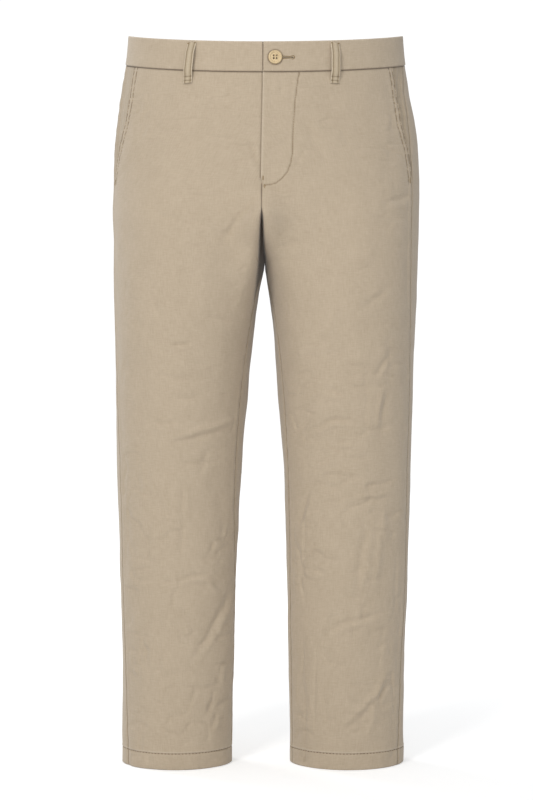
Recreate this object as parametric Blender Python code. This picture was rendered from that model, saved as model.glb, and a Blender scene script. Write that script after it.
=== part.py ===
"""Chino trousers, filled out and held up at the waist, as thin walls of cloth.

+Z is up, the front faces -Y and the wearer's left is +X. The origin is the middle of the waist,
halfway up the waistband at the sides. Sizes are in millimetres until a mesh is made.

Each half of the trousers is a stack of rings. A point on a ring is given by its angle, which is
0 at the outer edge of the leg, 90 degrees at the middle of its front, 180 at its inner edge and
negative across the back. Above the crotch the inner edge of the ring lies past the centre seam,
whose plane cuts the ring off, and the leg's ring turns into half of the ring round the hips.
"""
import math
from collections import namedtuple

import bmesh
import bpy
import numpy as np
from mathutils import Matrix, Vector

MM = 0.001
RIGHT, LEFT = -1, 1
SIDE_NAMES = {RIGHT: "right", LEFT: "left"}
FRONT, BACK = 1, -1

# Cloth
CLOTH = 1.2               # wall of one layer
GAP = 0.3                 # clearance between pieces
LAYER = CLOTH + GAP       # from one layer to the next
BAND_WALL = 2.4           # waistband: two layers and its interlining
BAND_PROUD = 0.2          # waistband outside the panels' face

# Levels, measured at the side seams
WAIST_TOP = 21.0
WAIST_SEAM = -19.5
POCKET_END = -193.0
LEG_START = -90.0         # where the hips' ring begins to turn into the legs' rings
FORK_TOP = -195.0         # where the two halves begin to part
CROTCH = -295.0
HEM_FOLD = -956.5
HEM_EDGE = -979.0

# The waist drops towards the front and rises towards the back, down to the hip level
FRONT_DROP = 31.8
BACK_RISE = 16.0
TILT_POWER = 1.15         # above 1 the sides stay level for longer
HIP_LEVEL = -200.0

# How far past the centre seam a leg's ring would reach, above the crotch
FORK_SLOPE = 0.3
FORK_REACH = 200.0        # added reach at the top of the fork
FORK_REACH_LIMIT = 420.0
EDGE_LIMIT = 0.9996       # share of a ring's half width at which a panel stops at the latest

# Outer and inner edges across the body, front and back depths, how pointed the ring's edges are
# (1 is an ellipse) and how square its inner front and inner back quarters are (2 is an ellipse)
OUTLINE_COLUMNS = ("height", "right_outer", "left_outer", "front", "back", "pointed",
                   "square_front", "square_back")
OUTLINE = (
    (40, -187.6, 186.4, 113, 112, 1.00, 3.0, 2.6),
    (21, -188.9, 187.8, 115, 114, 1.00, 3.0, 2.6),
    (-20, -192.8, 191.3, 117, 118, 1.00, 3.0, 2.6),
    (-60, -199.6, 196.4, 119, 126, 1.00, 3.0, 2.6),
    (-100, -205.2, 204.4, 120, 136, 1.00, 3.0, 2.6),
    (-143, -209.4, 208.6, 120, 145, 1.00, 3.0, 2.6),
    (-184, -210.2, 210.8, 119, 150, 1.00, 3.0, 2.6),
    (-226, -210.6, 210.4, 117, 148, 1.00, 3.0, 2.6),
    (-267, -209.8, 209.6, 114, 138, 1.00, 2.8, 2.5),
    (-309, -209.8, 208.4, 110, 124, 1.00, 2.6, 2.3),
    (-350, -209.4, 207.0, 106, 111, 1.00, 2.4, 2.2),
    (-412, -208.2, 204.2, 98, 97, 1.00, 2.2, 2.0),
    (-495, -207.0, 201.5, 87, 83, 1.04, 2.0, 2.0),
    (-578, -205.2, 198.8, 77, 72, 1.08, 2.0, 2.0),
    (-660, -202.9, 197.0, 70, 67, 1.12, 2.0, 2.0),
    (-743, -201.3, 194.6, 65.5, 64, 1.15, 2.0, 2.0),
    (-826, -198.8, 191.9, 62.5, 62, 1.18, 2.0, 2.0),
    (-909, -197.4, 190.3, 60, 60, 1.20, 2.0, 2.0),
    (-979, -197.1, 189.1, 58.5, 58.5, 1.20, 2.0, 2.0),
)

INNER_COLUMNS = ("height", "right_inner", "left_inner")
INNER_EDGES = (
    (CROTCH, -2.0, -1.4),
    (-309, -4.6, 0.4),
    (-330, -8.6, 3.0),
    (-350, -11.4, 5.6),
    (-371, -14.2, 8.2),
    (-412, -19.4, 12.2),
    (-453, -23.8, 15.8),
    (-495, -28.0, 19.3),
    (-536, -31.6, 22.2),
    (-578, -34.6, 24.7),
    (-660, -39.0, 27.4),
    (-743, -42.6, 28.9),
    (-826, -44.6, 30.3),
    (-909, -46.6, 31.8),
    (-979, -47.1, 33.1),
)

# Where the centre seams run, to the wearer's left of the middle
CENTRE_COLUMNS = ("height", "front", "back")
CENTRE_SEAMS = (
    (40, -3.0, 0.0),
    (-60, -3.2, 0.0),
    (-143, -4.8, 0.0),
    (-226, -5.8, -0.4),
    (-262, -4.6, -1.0),
    (CROTCH, -1.7, -1.7),
)

# Angles of the side seams, in degrees forward of the outer edge
SIDE_COLUMNS = ("height", "right_seam", "left_seam")
SIDE_SEAMS = (
    (40, 9, 20),
    (-20, 9, 20),
    (-60, 10, 25.5),
    (-90, 11, 28),
    (-130, 12, 28.6),
    (POCKET_END, 14, 29),
    (-250, 14, 29.5),
    (-309, 14, 29),
    (-380, 16, 26),
    (-480, 19, 22.5),
    (-610, 22, 22),
    (-743, 22, 19),
    (-860, 24, 25),
    (-979, 30, 29),
)

# Degrees between the side seams and the slanted pocket mouths
MOUTH_COLUMNS = ("height", "right_mouth", "left_mouth")
POCKET_MOUTHS = (
    (-20, 25.3, 20.0),
    (-50, 24.6, 14.5),
    (-68, 23.8, 12.6),
    (-95, 21.5, 11.3),
    (-120, 17.5, 8.0),
    (-135, 14.2, 5.4),
    (-160, 8.0, 2.4),
    (POCKET_END, 0, 0),
)

# Angles of the inner leg seams, in degrees forward of the inner edge
INSEAM_COLUMNS = ("height", "right_seam", "left_seam")
INSEAMS = (
    (CROTCH, 0, 0),
    (-330, 14, 12),
    (-380, 21, 19),
    (-480, 25, 22),
    (-610, 23, 20),
    (-743, 8, 18.5),
    (-860, 5, 18),
    (-979, 10, 16),
)

# Mesh density
FRONT_STEPS = 11          # strips across a front panel, after the one at the pocket mouth
POCKET_STRIP = 8.0        # degrees of the strip behind which the pocket facing is tucked
BACK_STEPS = 15
CROTCH_STEPS = 6
HIP_LEVELS = (-45, -70, -100, -130, -155, -175, -187)
LEG_LEVELS = (-310, -330, -360, -400, -450, -500, -560, -620, -680, -740, -800, -860, -912)
PROBE = 0.5               # half the span over which a slope is measured, in degrees or mm
BISECTIONS = 30

# Hem
HEM_DEPTH = LAYER + 0.2   # outer face of the turned-up layer

# Fly placket
FLY_WIDTH = 46.0
FLY_UNDERLAP = 14.0
FLY_MIDDLE = 2.0          # half the flat strip across the centre seam
FLY_END = -211.0          # lowest point of its curve
FLY_BEND = -150.0         # where its straight edge starts to curve in
FLY_CURVE_LEVELS = (-168, -182, -192)
FLY_DEPTH = CLOTH + 0.6
FLY_STEPS = 4

# Waistband front ends
UNDERLAP_LENGTH = 44.0
UNDERLAP_RAMP = 9.0       # length over which the right end dips under the left one
UNDERLAP_TURN = 1.5       # it is under before it reaches the seam by this much
UNDERLAP_START = 8.0      # first column past the seam
UNDERLAP_STEPS = 4
UNDERLAP_CLEAR = 0.6      # between the two ends
COLUMN_SPACE = 5.0        # least distance between columns before the ramp
BUTTONHOLE_START = 10.0
BUTTONHOLE_END = 36.5
BUTTONHOLE_HEIGHT = 3.0
BUTTON_LEVEL = -0.4       # middle of the band, measured at the side
BUTTONHOLE_DROP = 0.3     # the buttonhole lies this far under the button's middle
CUTTER_START = -130.0     # the cutter runs from in front of the band to behind its outer end
CUTTER_END = -100.0

# Waist button, turned: from the middle of its dished face over the rim to its thread shank
BUTTON_X = 12.1
BUTTON_COLUMNS = ("radius", "height")
BUTTON_PROFILE = (
    (0.0, 2.4),
    (6.0, 2.4),
    (7.0, 2.9),
    (7.5, 3.3),
    (8.5, 3.2),
    (9.2, 2.4),
    (8.9, 1.0),
    (7.6, GAP),
    (0.9, GAP),
    (0.9, -2.8),
    (0.0, -2.8),
)
BUTTON_HOLE_RADIUS = 0.95
BUTTON_HOLE_OFFSET = 1.75 # from the middle, across and up
PIN_TOP = 5.0             # the pins that cut the holes run past both faces
PIN_END = -0.3
PIN_SIDES = 12
ROUND_SIDES = 32

# Belt loops; each end's x is its distance from the middle
BeltLoop = namedtuple("BeltLoop", "name side face top_x bottom_x")
BELT_LOOPS = (
    BeltLoop("belt_loop_front_right", RIGHT, FRONT, 98.0, 103.5),
    BeltLoop("belt_loop_front_left", LEFT, FRONT, 92.5, 91.8),
    BeltLoop("belt_loop_back_right", RIGHT, BACK, 112.0, 113.0),
    BeltLoop("belt_loop_back_left", LEFT, BACK, 112.0, 113.0),
    BeltLoop("belt_loop_back_centre", LEFT, BACK, 0.0, 0.0),
)
LOOP_WIDTH = 11.2
LOOP_WALL = 1.6
LOOP_TOP = 17.5           # level of the upper end
LOOP_LENGTH = 55.0
LOOP_TAB_TOP = 2.5
LOOP_TAB_BOTTOM = 5.0
LOOP_RISE = 6.5           # length over which it lifts off the band
LOOP_CLEAR = 7.5          # room for a belt
LOOP_SEAT = 0.5           # clearance under its sewn ends
LOOP_BAND_REACH = 8.0     # it stays clear of the band's face down to this far under the band
LOOP_STEPS = 4            # steps in each rising stretch
LOOP_SEARCH = -30.0       # angle from which a place across the back is looked for

MATT, POLISHED = 0.9, 0.35
SHARP_EDGE = 40.0

CLOTH_COLOUR = "#BBAB96"
FACING_COLOUR = "#AFA08C"
LOOP_COLOUR = "#B7A791"
BUTTON_COLOUR = "#D9C196"


# ---- tables and rings ------------------------------------------------------------------------

def smooth_curve(table, columns, name):
    """A smooth curve through one column against height, which never overshoots its rows."""
    index = columns.index(name)
    rows = sorted((row[0], row[index]) for row in table)
    heights = np.array([row[0] for row in rows], dtype=float)
    values = np.array([row[1] for row in rows], dtype=float)
    slopes = np.diff(values) / np.diff(heights)
    tangents = np.concatenate(([slopes[0]], np.zeros(len(slopes) - 1), [slopes[-1]]))
    for i in range(1, len(slopes)):
        if slopes[i - 1] * slopes[i] > 0:
            tangents[i] = 2 * slopes[i - 1] * slopes[i] / (slopes[i - 1] + slopes[i])

    def at(height):
        height = min(max(height, heights[0]), heights[-1])
        i = min(max(int(np.searchsorted(heights, height)) - 1, 0), len(slopes) - 1)
        step = heights[i + 1] - heights[i]
        t = (height - heights[i]) / step
        return ((1 + 2 * t) * (1 - t) ** 2 * values[i] + t * (1 - t) ** 2 * step * tangents[i]
                + t * t * (3 - 2 * t) * values[i + 1] + t * t * (t - 1) * step * tangents[i + 1])

    return at


outer_edge = {RIGHT: smooth_curve(OUTLINE, OUTLINE_COLUMNS, "right_outer"),
              LEFT: smooth_curve(OUTLINE, OUTLINE_COLUMNS, "left_outer")}
face_depth = {FRONT: smooth_curve(OUTLINE, OUTLINE_COLUMNS, "front"),
              BACK: smooth_curve(OUTLINE, OUTLINE_COLUMNS, "back")}
pointed = smooth_curve(OUTLINE, OUTLINE_COLUMNS, "pointed")
squareness = {FRONT: smooth_curve(OUTLINE, OUTLINE_COLUMNS, "square_front"),
              BACK: smooth_curve(OUTLINE, OUTLINE_COLUMNS, "square_back")}
inner_edge = {RIGHT: smooth_curve(INNER_EDGES, INNER_COLUMNS, "right_inner"),
              LEFT: smooth_curve(INNER_EDGES, INNER_COLUMNS, "left_inner")}
centre_seam = {FRONT: smooth_curve(CENTRE_SEAMS, CENTRE_COLUMNS, "front"),
               BACK: smooth_curve(CENTRE_SEAMS, CENTRE_COLUMNS, "back")}
side_seam = {RIGHT: smooth_curve(SIDE_SEAMS, SIDE_COLUMNS, "right_seam"),
             LEFT: smooth_curve(SIDE_SEAMS, SIDE_COLUMNS, "left_seam")}
pocket_mouth = {RIGHT: smooth_curve(POCKET_MOUTHS, MOUTH_COLUMNS, "right_mouth"),
                LEFT: smooth_curve(POCKET_MOUTHS, MOUTH_COLUMNS, "left_mouth")}
inseam = {RIGHT: smooth_curve(INSEAMS, INSEAM_COLUMNS, "right_seam"),
          LEFT: smooth_curve(INSEAMS, INSEAM_COLUMNS, "left_seam")}


def fade(height, start, end):
    """From 0 at one height to 1 at another, level at both."""
    share = min(max((height - start) / (end - start), 0.0), 1.0)
    return share * share * (3 - 2 * share)


def centre_plane(side, face, height):
    return centre_seam[face](height) + side * GAP / 2


def inner_reach(side, face, height):
    """Inner edge of a leg's ring across the body; above the crotch it is past the seam."""
    if height <= CROTCH:
        return inner_edge[side](height)
    rise = height - CROTCH
    reach = FORK_SLOPE * rise + FORK_REACH * (rise / (FORK_TOP - CROTCH)) ** 3
    return centre_plane(side, face, height) - side * min(reach, FORK_REACH_LIMIT)


def leg_middle(side, height):
    """Where the leg's ring is deepest, across the body."""
    return (outer_edge[side](height) + inner_edge[side](height)) / 2


def across(side, face, height, angle, depth):
    """Place across the body of a point on a ring, a depth under its outer face."""
    cosine = math.cos(math.radians(angle))
    middle = leg_middle(side, height)
    edge = outer_edge[side](height) if cosine > 0 else inner_reach(side, face, height)
    return middle + side * (abs(edge - middle) - depth) * cosine


def bulge(side, face, height, angle, depth=0.0):
    """Share of the full depth that a ring has at an angle: 0 at its edges, 1 where deepest."""
    cosine = math.cos(math.radians(angle))
    square = 2.0 if cosine > 0 else squareness[face](height)
    leg = max(1 - abs(cosine) ** square, 0.0) ** (pointed(height) / 2)
    turned_leg = fade(height, LEG_START, CROTCH)
    if turned_leg >= 1:
        return leg
    centre = centre_seam[face](height)
    half = abs(outer_edge[side](height) - centre) - depth
    hip = max(1 - ((across(side, face, height, angle, depth) - centre) / half) ** 2, 0.0) ** 0.5
    return hip + (leg - hip) * turned_leg


def is_front(angle):
    return math.sin(math.radians(angle)) >= 0


def height_at(level, face, share):
    """Height of a point: the waist tilts, and the tilt fades out at the hips."""
    tilt = FRONT_DROP if face == FRONT else -BACK_RISE
    return level - fade(level, HIP_LEVEL, WAIST_SEAM) * tilt * share ** TILT_POWER


def surface(side, level, angle, depth=0.0):
    """A point of one half, a depth under its outer face."""
    face = FRONT if is_front(angle) else BACK
    height = height_at(level, face, bulge(side, face, level, angle))
    out = (face_depth[face](height) - depth) * bulge(side, face, height, angle, depth)
    return Vector((across(side, face, height, angle, depth), -face * out, height))


def outward(side, level, angle, depth=0.0):
    """Unit normal of the surface."""
    along = surface(side, level, angle + PROBE, depth) - surface(side, level, angle - PROBE, depth)
    up = surface(side, level + PROBE, angle, depth) - surface(side, level - PROBE, angle, depth)
    return (up.cross(along) * side).normalized()


def gap_angle(side, level, angle, distance=GAP / 2):
    """The angle that takes up a distance along the ring."""
    step = surface(side, level, angle + PROBE) - surface(side, level, angle - PROBE)
    return 2 * PROBE * distance / step.length


def centre_angle(side, face, level, depth):
    """The angle at which a ring meets the centre seam's plane, positive on both faces."""
    height = height_at(level, face, 1.0)
    middle = leg_middle(side, height)
    half = abs(inner_reach(side, face, height) - middle) - depth
    ratio = abs(centre_plane(side, face, height) - middle) / half
    return 180 - math.degrees(math.acos(min(ratio, EDGE_LIMIT)))


def even_angles(side, level, start, end, steps, samples=48):
    """Angles from start to end at even distances along the surface."""
    angles = even_steps(start, end, samples)
    points = [surface(side, level, angle) for angle in angles]
    lengths = np.cumsum([0.0] + [(b - a).length for a, b in zip(points, points[1:])])
    return list(np.interp(np.linspace(0, lengths[-1], steps + 1), lengths, angles))


def even_steps(start, end, steps):
    return [start + (end - start) * k / steps for k in range(steps + 1)]


# ---- panels ----------------------------------------------------------------------------------

def panel_levels():
    """Levels of a leg panel's rows, from the waist seam to the hem."""
    crotch = [FORK_TOP - (FORK_TOP - CROTCH) * math.sin(math.pi / 2 * k / CROTCH_STEPS)
              for k in range(1, CROTCH_STEPS + 1)]
    return ([WAIST_SEAM - GAP / 2, *HIP_LEVELS, POCKET_END] + crotch
            + [*LEG_LEVELS, HEM_FOLD, HEM_EDGE])


def front_angles(side, level, depth):
    """Angles of a front panel's columns: from the pocket mouth or side seam to its inner edge."""
    start = side_seam[side](level) + pocket_mouth[side](level)
    start += gap_angle(side, level, start)
    if level > CROTCH:
        end = centre_angle(side, FRONT, level, depth)
    else:
        end = 180 - inseam[side](level)
        end -= gap_angle(side, level, end)
    tucked = start + POCKET_STRIP
    return [start] + even_angles(side, level, tucked, end, FRONT_STEPS)


def back_angles(side, level, depth):
    """Angles of a back panel's columns: from the side seam round the back to its inner edge."""
    start = side_seam[side](level)
    start -= gap_angle(side, level, start)
    if level > CROTCH:
        end = -centre_angle(side, BACK, level, depth)
    else:
        end = -180 - inseam[side](level)
        end += gap_angle(side, level, end)
    return even_angles(side, level, start, end, BACK_STEPS)


def shell(name, outer, inner, colour, closed=False):
    """A closed wall between two grids of points, each a list of rows."""
    rows, columns = len(outer), len(outer[0])
    work = bmesh.new()
    faces = [[[work.verts.new(point * MM) for point in row] for row in grid]
             for grid in (outer, inner)]
    last = columns if closed else columns - 1
    for grid, order in zip(faces, (1, -1)):
        for i in range(rows - 1):
            for j in range(last):
                k = (j + 1) % columns
                near = (grid[i][j], grid[i][k], grid[i + 1][k])
                far = (grid[i][j], grid[i + 1][k], grid[i + 1][j])
                work.faces.new(near[::order])
                work.faces.new(far[::order])
    for i in (0, rows - 1):
        for j in range(last):
            k = (j + 1) % columns
            work.faces.new((faces[0][i][j], faces[0][i][k], faces[1][i][k], faces[1][i][j]))
    if not closed:
        for j in (0, columns - 1):
            for i in range(rows - 1):
                work.faces.new((faces[0][i][j], faces[0][i + 1][j],
                                faces[1][i + 1][j], faces[1][i][j]))
    return finished(name, work, colour)


def finished(name, work, colour, roughness=MATT):
    """Turn a bmesh into a named object with its own material."""
    bmesh.ops.recalc_face_normals(work, faces=work.faces)
    mesh = bpy.data.meshes.new(name)
    work.to_mesh(mesh)
    work.free()
    mesh.shade_smooth()
    mesh.set_sharp_from_angle(angle=math.radians(SHARP_EDGE))
    piece = bpy.data.objects.new(name, mesh)
    bpy.context.scene.collection.objects.link(piece)
    piece.data.materials.append(plain_material(name, colour, roughness))
    return piece


def plain_material(name, colour, roughness):
    material = bpy.data.materials.new(name + "_finish")
    material.use_nodes = True
    shader = material.node_tree.nodes["Principled BSDF"]
    shader.inputs["Base Color"].default_value = linear(colour)
    shader.inputs["Roughness"].default_value = roughness
    shader.inputs["Metallic"].default_value = 0.0
    return material


def linear(colour):
    """sRGB hex to the linear colour that a shader takes."""
    channels = [int(colour[i:i + 2], 16) / 255 for i in (1, 3, 5)]
    return [c / 12.92 if c <= 0.04045 else ((c + 0.055) / 1.055) ** 2.4 for c in channels] + [1]


def panel(name, side, levels, angles, depths, colour):
    """A panel of cloth: rows of surface points at its outer and inner depth."""
    grids = [[[surface(side, level, angle, depth) for angle in angles(side, level, depth)]
              for level in levels] for depth in depths]
    return shell(name, grids[0], grids[1], colour)


def leg_panels():
    for side in (LEFT, RIGHT):
        panel("front_panel_" + SIDE_NAMES[side], side, panel_levels(), front_angles,
              (0.0, CLOTH), CLOTH_COLOUR)
        panel("back_panel_" + SIDE_NAMES[side], side, panel_levels(), back_angles,
              (0.0, CLOTH), CLOTH_COLOUR)


def facing_angles(side, level, depth):
    """From the side seam to one strip under the front panel."""
    start = side_seam[side](level)
    start += gap_angle(side, level, start)
    mouth, tucked = front_angles(side, level, depth)[:2]
    return even_steps(start, mouth, 3) + [tucked]


def pocket_facings():
    levels = [level for level in panel_levels() if level > POCKET_END]
    for side in (LEFT, RIGHT):
        panel("pocket_facing_" + SIDE_NAMES[side], side, levels, facing_angles,
              (LAYER, LAYER + CLOTH), FACING_COLOUR)


def hems():
    """The turned-up layer inside each leg opening, on the same columns as the panels."""
    for side in (LEFT, RIGHT):
        grids = []
        for depth in (HEM_DEPTH, HEM_DEPTH + CLOTH):
            grid = []
            for level in (HEM_FOLD, HEM_EDGE):
                front = front_angles(side, level, depth)
                back = back_angles(side, level, depth)
                angles = [(front[0] + back[0]) / 2] + front[1:-1]
                angles += [180 - inseam[side](level)] + [a + 360 for a in back[-2:0:-1]]
                grid.append([surface(side, level, angle, depth) for angle in angles])
            grids.append(grid)
        shell("hem_" + SIDE_NAMES[side], grids[0], grids[1], FACING_COLOUR, closed=True)


# ---- fly -------------------------------------------------------------------------------------

def fly_width(height):
    """Width of the placket: straight, then a quarter of an ellipse down to its end."""
    if height >= FLY_BEND:
        return FLY_WIDTH
    drop = min((FLY_BEND - height) / (FLY_BEND - FLY_END), 1.0)
    return FLY_WIDTH * math.sqrt(max(1 - drop * drop, 0.0))


def angle_at_x(side, face, level, x, depth=0.0):
    """The angle at which the surface reaches a place across the body, up to the centre seam."""
    low, high = (0.0, 180.0) if face == FRONT else (LOOP_SEARCH, -180.0)
    if face == BACK:
        high = -centre_angle(side, BACK, level, depth)
    for _ in range(BISECTIONS):
        angle = (low + high) / 2
        if side * surface(side, level, angle, depth).x > side * x:
            low = angle
        else:
            high = angle
    return (low + high) / 2


def front_point(side, level, x, depth):
    """A point of the front at a place across the body."""
    return surface(side, level, angle_at_x(side, FRONT, level, x, depth), depth)


def fly_placket():
    """A layer inside the centre front, from a little past the seam to the J-shaped stitching."""
    levels = [level for level in panel_levels() if level > FORK_TOP]
    levels = [level for level in levels if level > FLY_BEND] + [FLY_BEND, *FLY_CURVE_LEVELS]
    grids = []
    for depth in (FLY_DEPTH, FLY_DEPTH + CLOTH):
        grid = []
        for level in levels:
            height = height_at(level, FRONT, 1.0)
            seam = centre_seam[FRONT](height)
            row = [front_point(RIGHT, level, x, depth)
                   for x in (seam - FLY_UNDERLAP, seam - FLY_MIDDLE)]
            row += [front_point(LEFT, level, x, depth)
                    for x in even_steps(seam + FLY_MIDDLE, seam + fly_width(height), FLY_STEPS)]
            grid.append(row)
        grids.append(grid)
    shell("fly_placket", grids[0], grids[1], FACING_COLOUR)


# ---- waistband -------------------------------------------------------------------------------

def band_angles(side, level, depth):
    """The band's columns are those of the panels under it, so that the seam stays even."""
    front = front_angles(side, level, depth)
    back = back_angles(side, level, depth)
    facing = facing_angles(side, level, depth)
    return back[:0:-1] + [(facing[0] + back[0]) / 2] + facing[1:-1] + front[1:]


def band_levels():
    return even_steps(WAIST_TOP, WAIST_SEAM + GAP / 2, 2)


def band_grid(side, depth):
    return [[surface(side, level, angle, depth) for angle in band_angles(side, level, depth)]
            for level in band_levels()]


def underlap_grid(depth):
    """The right half's end: it dips under the left half and runs on behind the buttonhole."""
    grid = []
    sunk = depth + BAND_WALL + UNDERLAP_CLEAR
    for level in band_levels():
        seam = centre_seam[FRONT](height_at(level, FRONT, 1.0))
        row = [front_point(RIGHT, level, seam - UNDERLAP_RAMP, depth),
               front_point(RIGHT, level, seam - UNDERLAP_TURN, sunk)]
        row += [front_point(LEFT, level, x, sunk)
                for x in even_steps(seam + UNDERLAP_START, seam + UNDERLAP_LENGTH, UNDERLAP_STEPS)]
        grid.append(row)
    return grid


def waistbands():
    depths = (-BAND_PROUD, BAND_WALL - BAND_PROUD)
    left = shell("waistband_left", band_grid(LEFT, depths[0]), band_grid(LEFT, depths[1]),
                 CLOTH_COLOUR)
    cut_buttonhole(left)
    grids = []
    for depth in depths:
        grid = band_grid(RIGHT, depth)
        for row, extra in zip(grid, underlap_grid(depth)):
            limit = extra[0].x - COLUMN_SPACE
            row[:] = [point for point in row if point.y > 0 or point.x < limit] + extra
        grids.append(grid)
    shell("waistband_right", grids[0], grids[1], CLOTH_COLOUR)


def cut_buttonhole(band):
    """A slot through the overlapping end of the waistband."""
    height = height_at(BUTTON_LEVEL, FRONT, 1.0) - BUTTONHOLE_DROP
    cutter = box_object("buttonhole_cutter",
                        (BUTTONHOLE_START, CUTTER_START, height - BUTTONHOLE_HEIGHT / 2),
                        (BUTTONHOLE_END, CUTTER_END, height + BUTTONHOLE_HEIGHT / 2))
    subtract(band, cutter)


def box_object(name, low, high):
    work = bmesh.new()
    bmesh.ops.create_cube(work, size=1.0)
    for vertex in work.verts:
        for axis in range(3):
            vertex.co[axis] = (high[axis] if vertex.co[axis] > 0 else low[axis]) * MM
    return guide(name, work)


def guide(name, work):
    """A cutter: it shows as wires only and is left out of the model."""
    mesh = bpy.data.meshes.new(name)
    work.to_mesh(mesh)
    work.free()
    cutter = bpy.data.objects.new(name, mesh)
    bpy.context.scene.collection.objects.link(cutter)
    cutter.hide_render = True
    cutter.display_type = "WIRE"
    return cutter


def subtract(piece, cutter):
    cut = piece.modifiers.new(cutter.name, "BOOLEAN")
    cut.operation = "DIFFERENCE"
    cut.object = cutter


# ---- belt loops ------------------------------------------------------------------------------

def loop_profile():
    """Distance along the loop and clearance under it, from its upper end to its lower end."""
    rise = [(k / LOOP_STEPS, math.sin(math.pi / 2 * k / LOOP_STEPS) ** 2)
            for k in range(LOOP_STEPS + 1)]
    stations = [(0.0, LOOP_SEAT)]
    for along, share in rise:
        stations.append((LOOP_TAB_TOP + along * LOOP_RISE,
                         LOOP_SEAT + share * (LOOP_CLEAR - LOOP_SEAT)))
    for along, share in reversed(rise):
        stations.append((LOOP_LENGTH - LOOP_TAB_BOTTOM - along * LOOP_RISE,
                         LOOP_SEAT + share * (LOOP_CLEAR - LOOP_SEAT)))
    stations.append((LOOP_LENGTH, LOOP_SEAT))
    return stations


def belt_loops():
    for loop in BELT_LOOPS:
        stations = loop_profile()
        seats = [loop_seat(loop, along) for along, _ in stations]
        lifts = [lift for _, lift in stations]
        outer, inner = [], []
        for seat, lift, (tilt_up, tilt_out) in zip(seats, lifts, profile_normals(seats, lifts)):
            point, normal, sideways = seat
            base = point + normal * lift
            top = base + normal * tilt_out * LOOP_WALL + Vector((0, 0, tilt_up * LOOP_WALL))
            reach = sideways * LOOP_WIDTH / 2
            outer.append([top - reach, top + reach])
            inner.append([base - reach, base + reach])
        shell(loop.name, outer, inner, LOOP_COLOUR)


def loop_seat(loop, along):
    """Surface point, outward direction and crosswise direction under a place on the loop."""
    level = LOOP_TOP - along
    x = loop.side * (loop.top_x + (loop.bottom_x - loop.top_x) * along / LOOP_LENGTH)
    angle = angle_at_x(loop.side, loop.face, level, x)
    normal = outward(loop.side, level, angle)
    flat = Vector((normal.x, normal.y, 0)).normalized()
    proud = BAND_PROUD if level > WAIST_SEAM - LOOP_BAND_REACH else 0.0
    return surface(loop.side, level, angle, -proud), flat, Vector((-flat.y, flat.x, 0))


def profile_normals(seats, lifts):
    """Upward and outward share of the loop's own normal at each station."""
    heights = [point.z for point, _, _ in seats]
    count = len(lifts)
    shares = []
    for i in range(count):
        before, after = max(i - 1, 0), min(i + 1, count - 1)
        fall = heights[before] - heights[after]
        climb = lifts[after] - lifts[before]
        length = math.hypot(fall, climb)
        shares.append((climb / length, fall / length))
    return shares


# ---- waist button ----------------------------------------------------------------------------

def waist_button():
    """A turned disc with a rim, a dished middle, four holes and its thread shank."""
    angle = angle_at_x(LEFT, FRONT, BUTTON_LEVEL, BUTTON_X)
    seat = surface(LEFT, BUTTON_LEVEL, angle, -BAND_PROUD) * MM
    facing = outward(LEFT, BUTTON_LEVEL, angle)
    place = Matrix.Translation(seat) @ facing.to_track_quat("Z", "Y").to_matrix().to_4x4()
    work = turned(BUTTON_PROFILE)
    bmesh.ops.transform(work, matrix=place, verts=work.verts)
    button = finished("waist_button", work, BUTTON_COLOUR, POLISHED)
    pin = ((0.0, PIN_TOP), (BUTTON_HOLE_RADIUS, PIN_TOP), (BUTTON_HOLE_RADIUS, PIN_END),
           (0.0, PIN_END))
    holes = bmesh.new()
    for x in (-BUTTON_HOLE_OFFSET, BUTTON_HOLE_OFFSET):
        for y in (-BUTTON_HOLE_OFFSET, BUTTON_HOLE_OFFSET):
            turned(pin, PIN_SIDES, holes, (x, y))
    bmesh.ops.transform(holes, matrix=place, verts=holes.verts)
    subtract(button, guide("button_hole_pins", holes))


def turned(profile, sides=ROUND_SIDES, work=None, axis=(0.0, 0.0)):
    """A profile of radius and height turned round an upright axis, in a new or given bmesh."""
    work = work or bmesh.new()
    rings = []
    for radius, height in profile:
        count = sides if radius else 1
        rings.append([work.verts.new(Vector((axis[0] + radius * math.cos(math.tau * k / sides),
                                             axis[1] + radius * math.sin(math.tau * k / sides),
                                             height)) * MM) for k in range(count)])
    for upper, lower in zip(rings, rings[1:]):
        for k in range(sides):
            corners = [upper[k % len(upper)], upper[(k + 1) % len(upper)],
                       lower[(k + 1) % len(lower)], lower[k % len(lower)]]
            work.faces.new(dict.fromkeys(corners))
    bmesh.ops.recalc_face_normals(work, faces=work.faces)
    return work


def main():
    for old in list(bpy.data.objects):
        bpy.data.objects.remove(old)
    leg_panels()
    pocket_facings()
    hems()
    fly_placket()
    waistbands()
    belt_loops()
    waist_button()


main()
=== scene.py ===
"""Looks of a pair of men's chino trousers, filled out with no wearer and held at the waist.

Millimetres throughout, turned to metres when a mesh is made. The wearer's left is +X, the front
faces -Y, up is +Z, and the origin is the middle of the waist. Each leg is a run of level rings:
a point of the cloth is given by its level and by its angle round the ring, 0 at the outer side,
positive round the front and negative round the back.
"""
import math
from collections import namedtuple

import bmesh
import bpy
import numpy as np
from mathutils import Matrix, Vector

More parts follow.
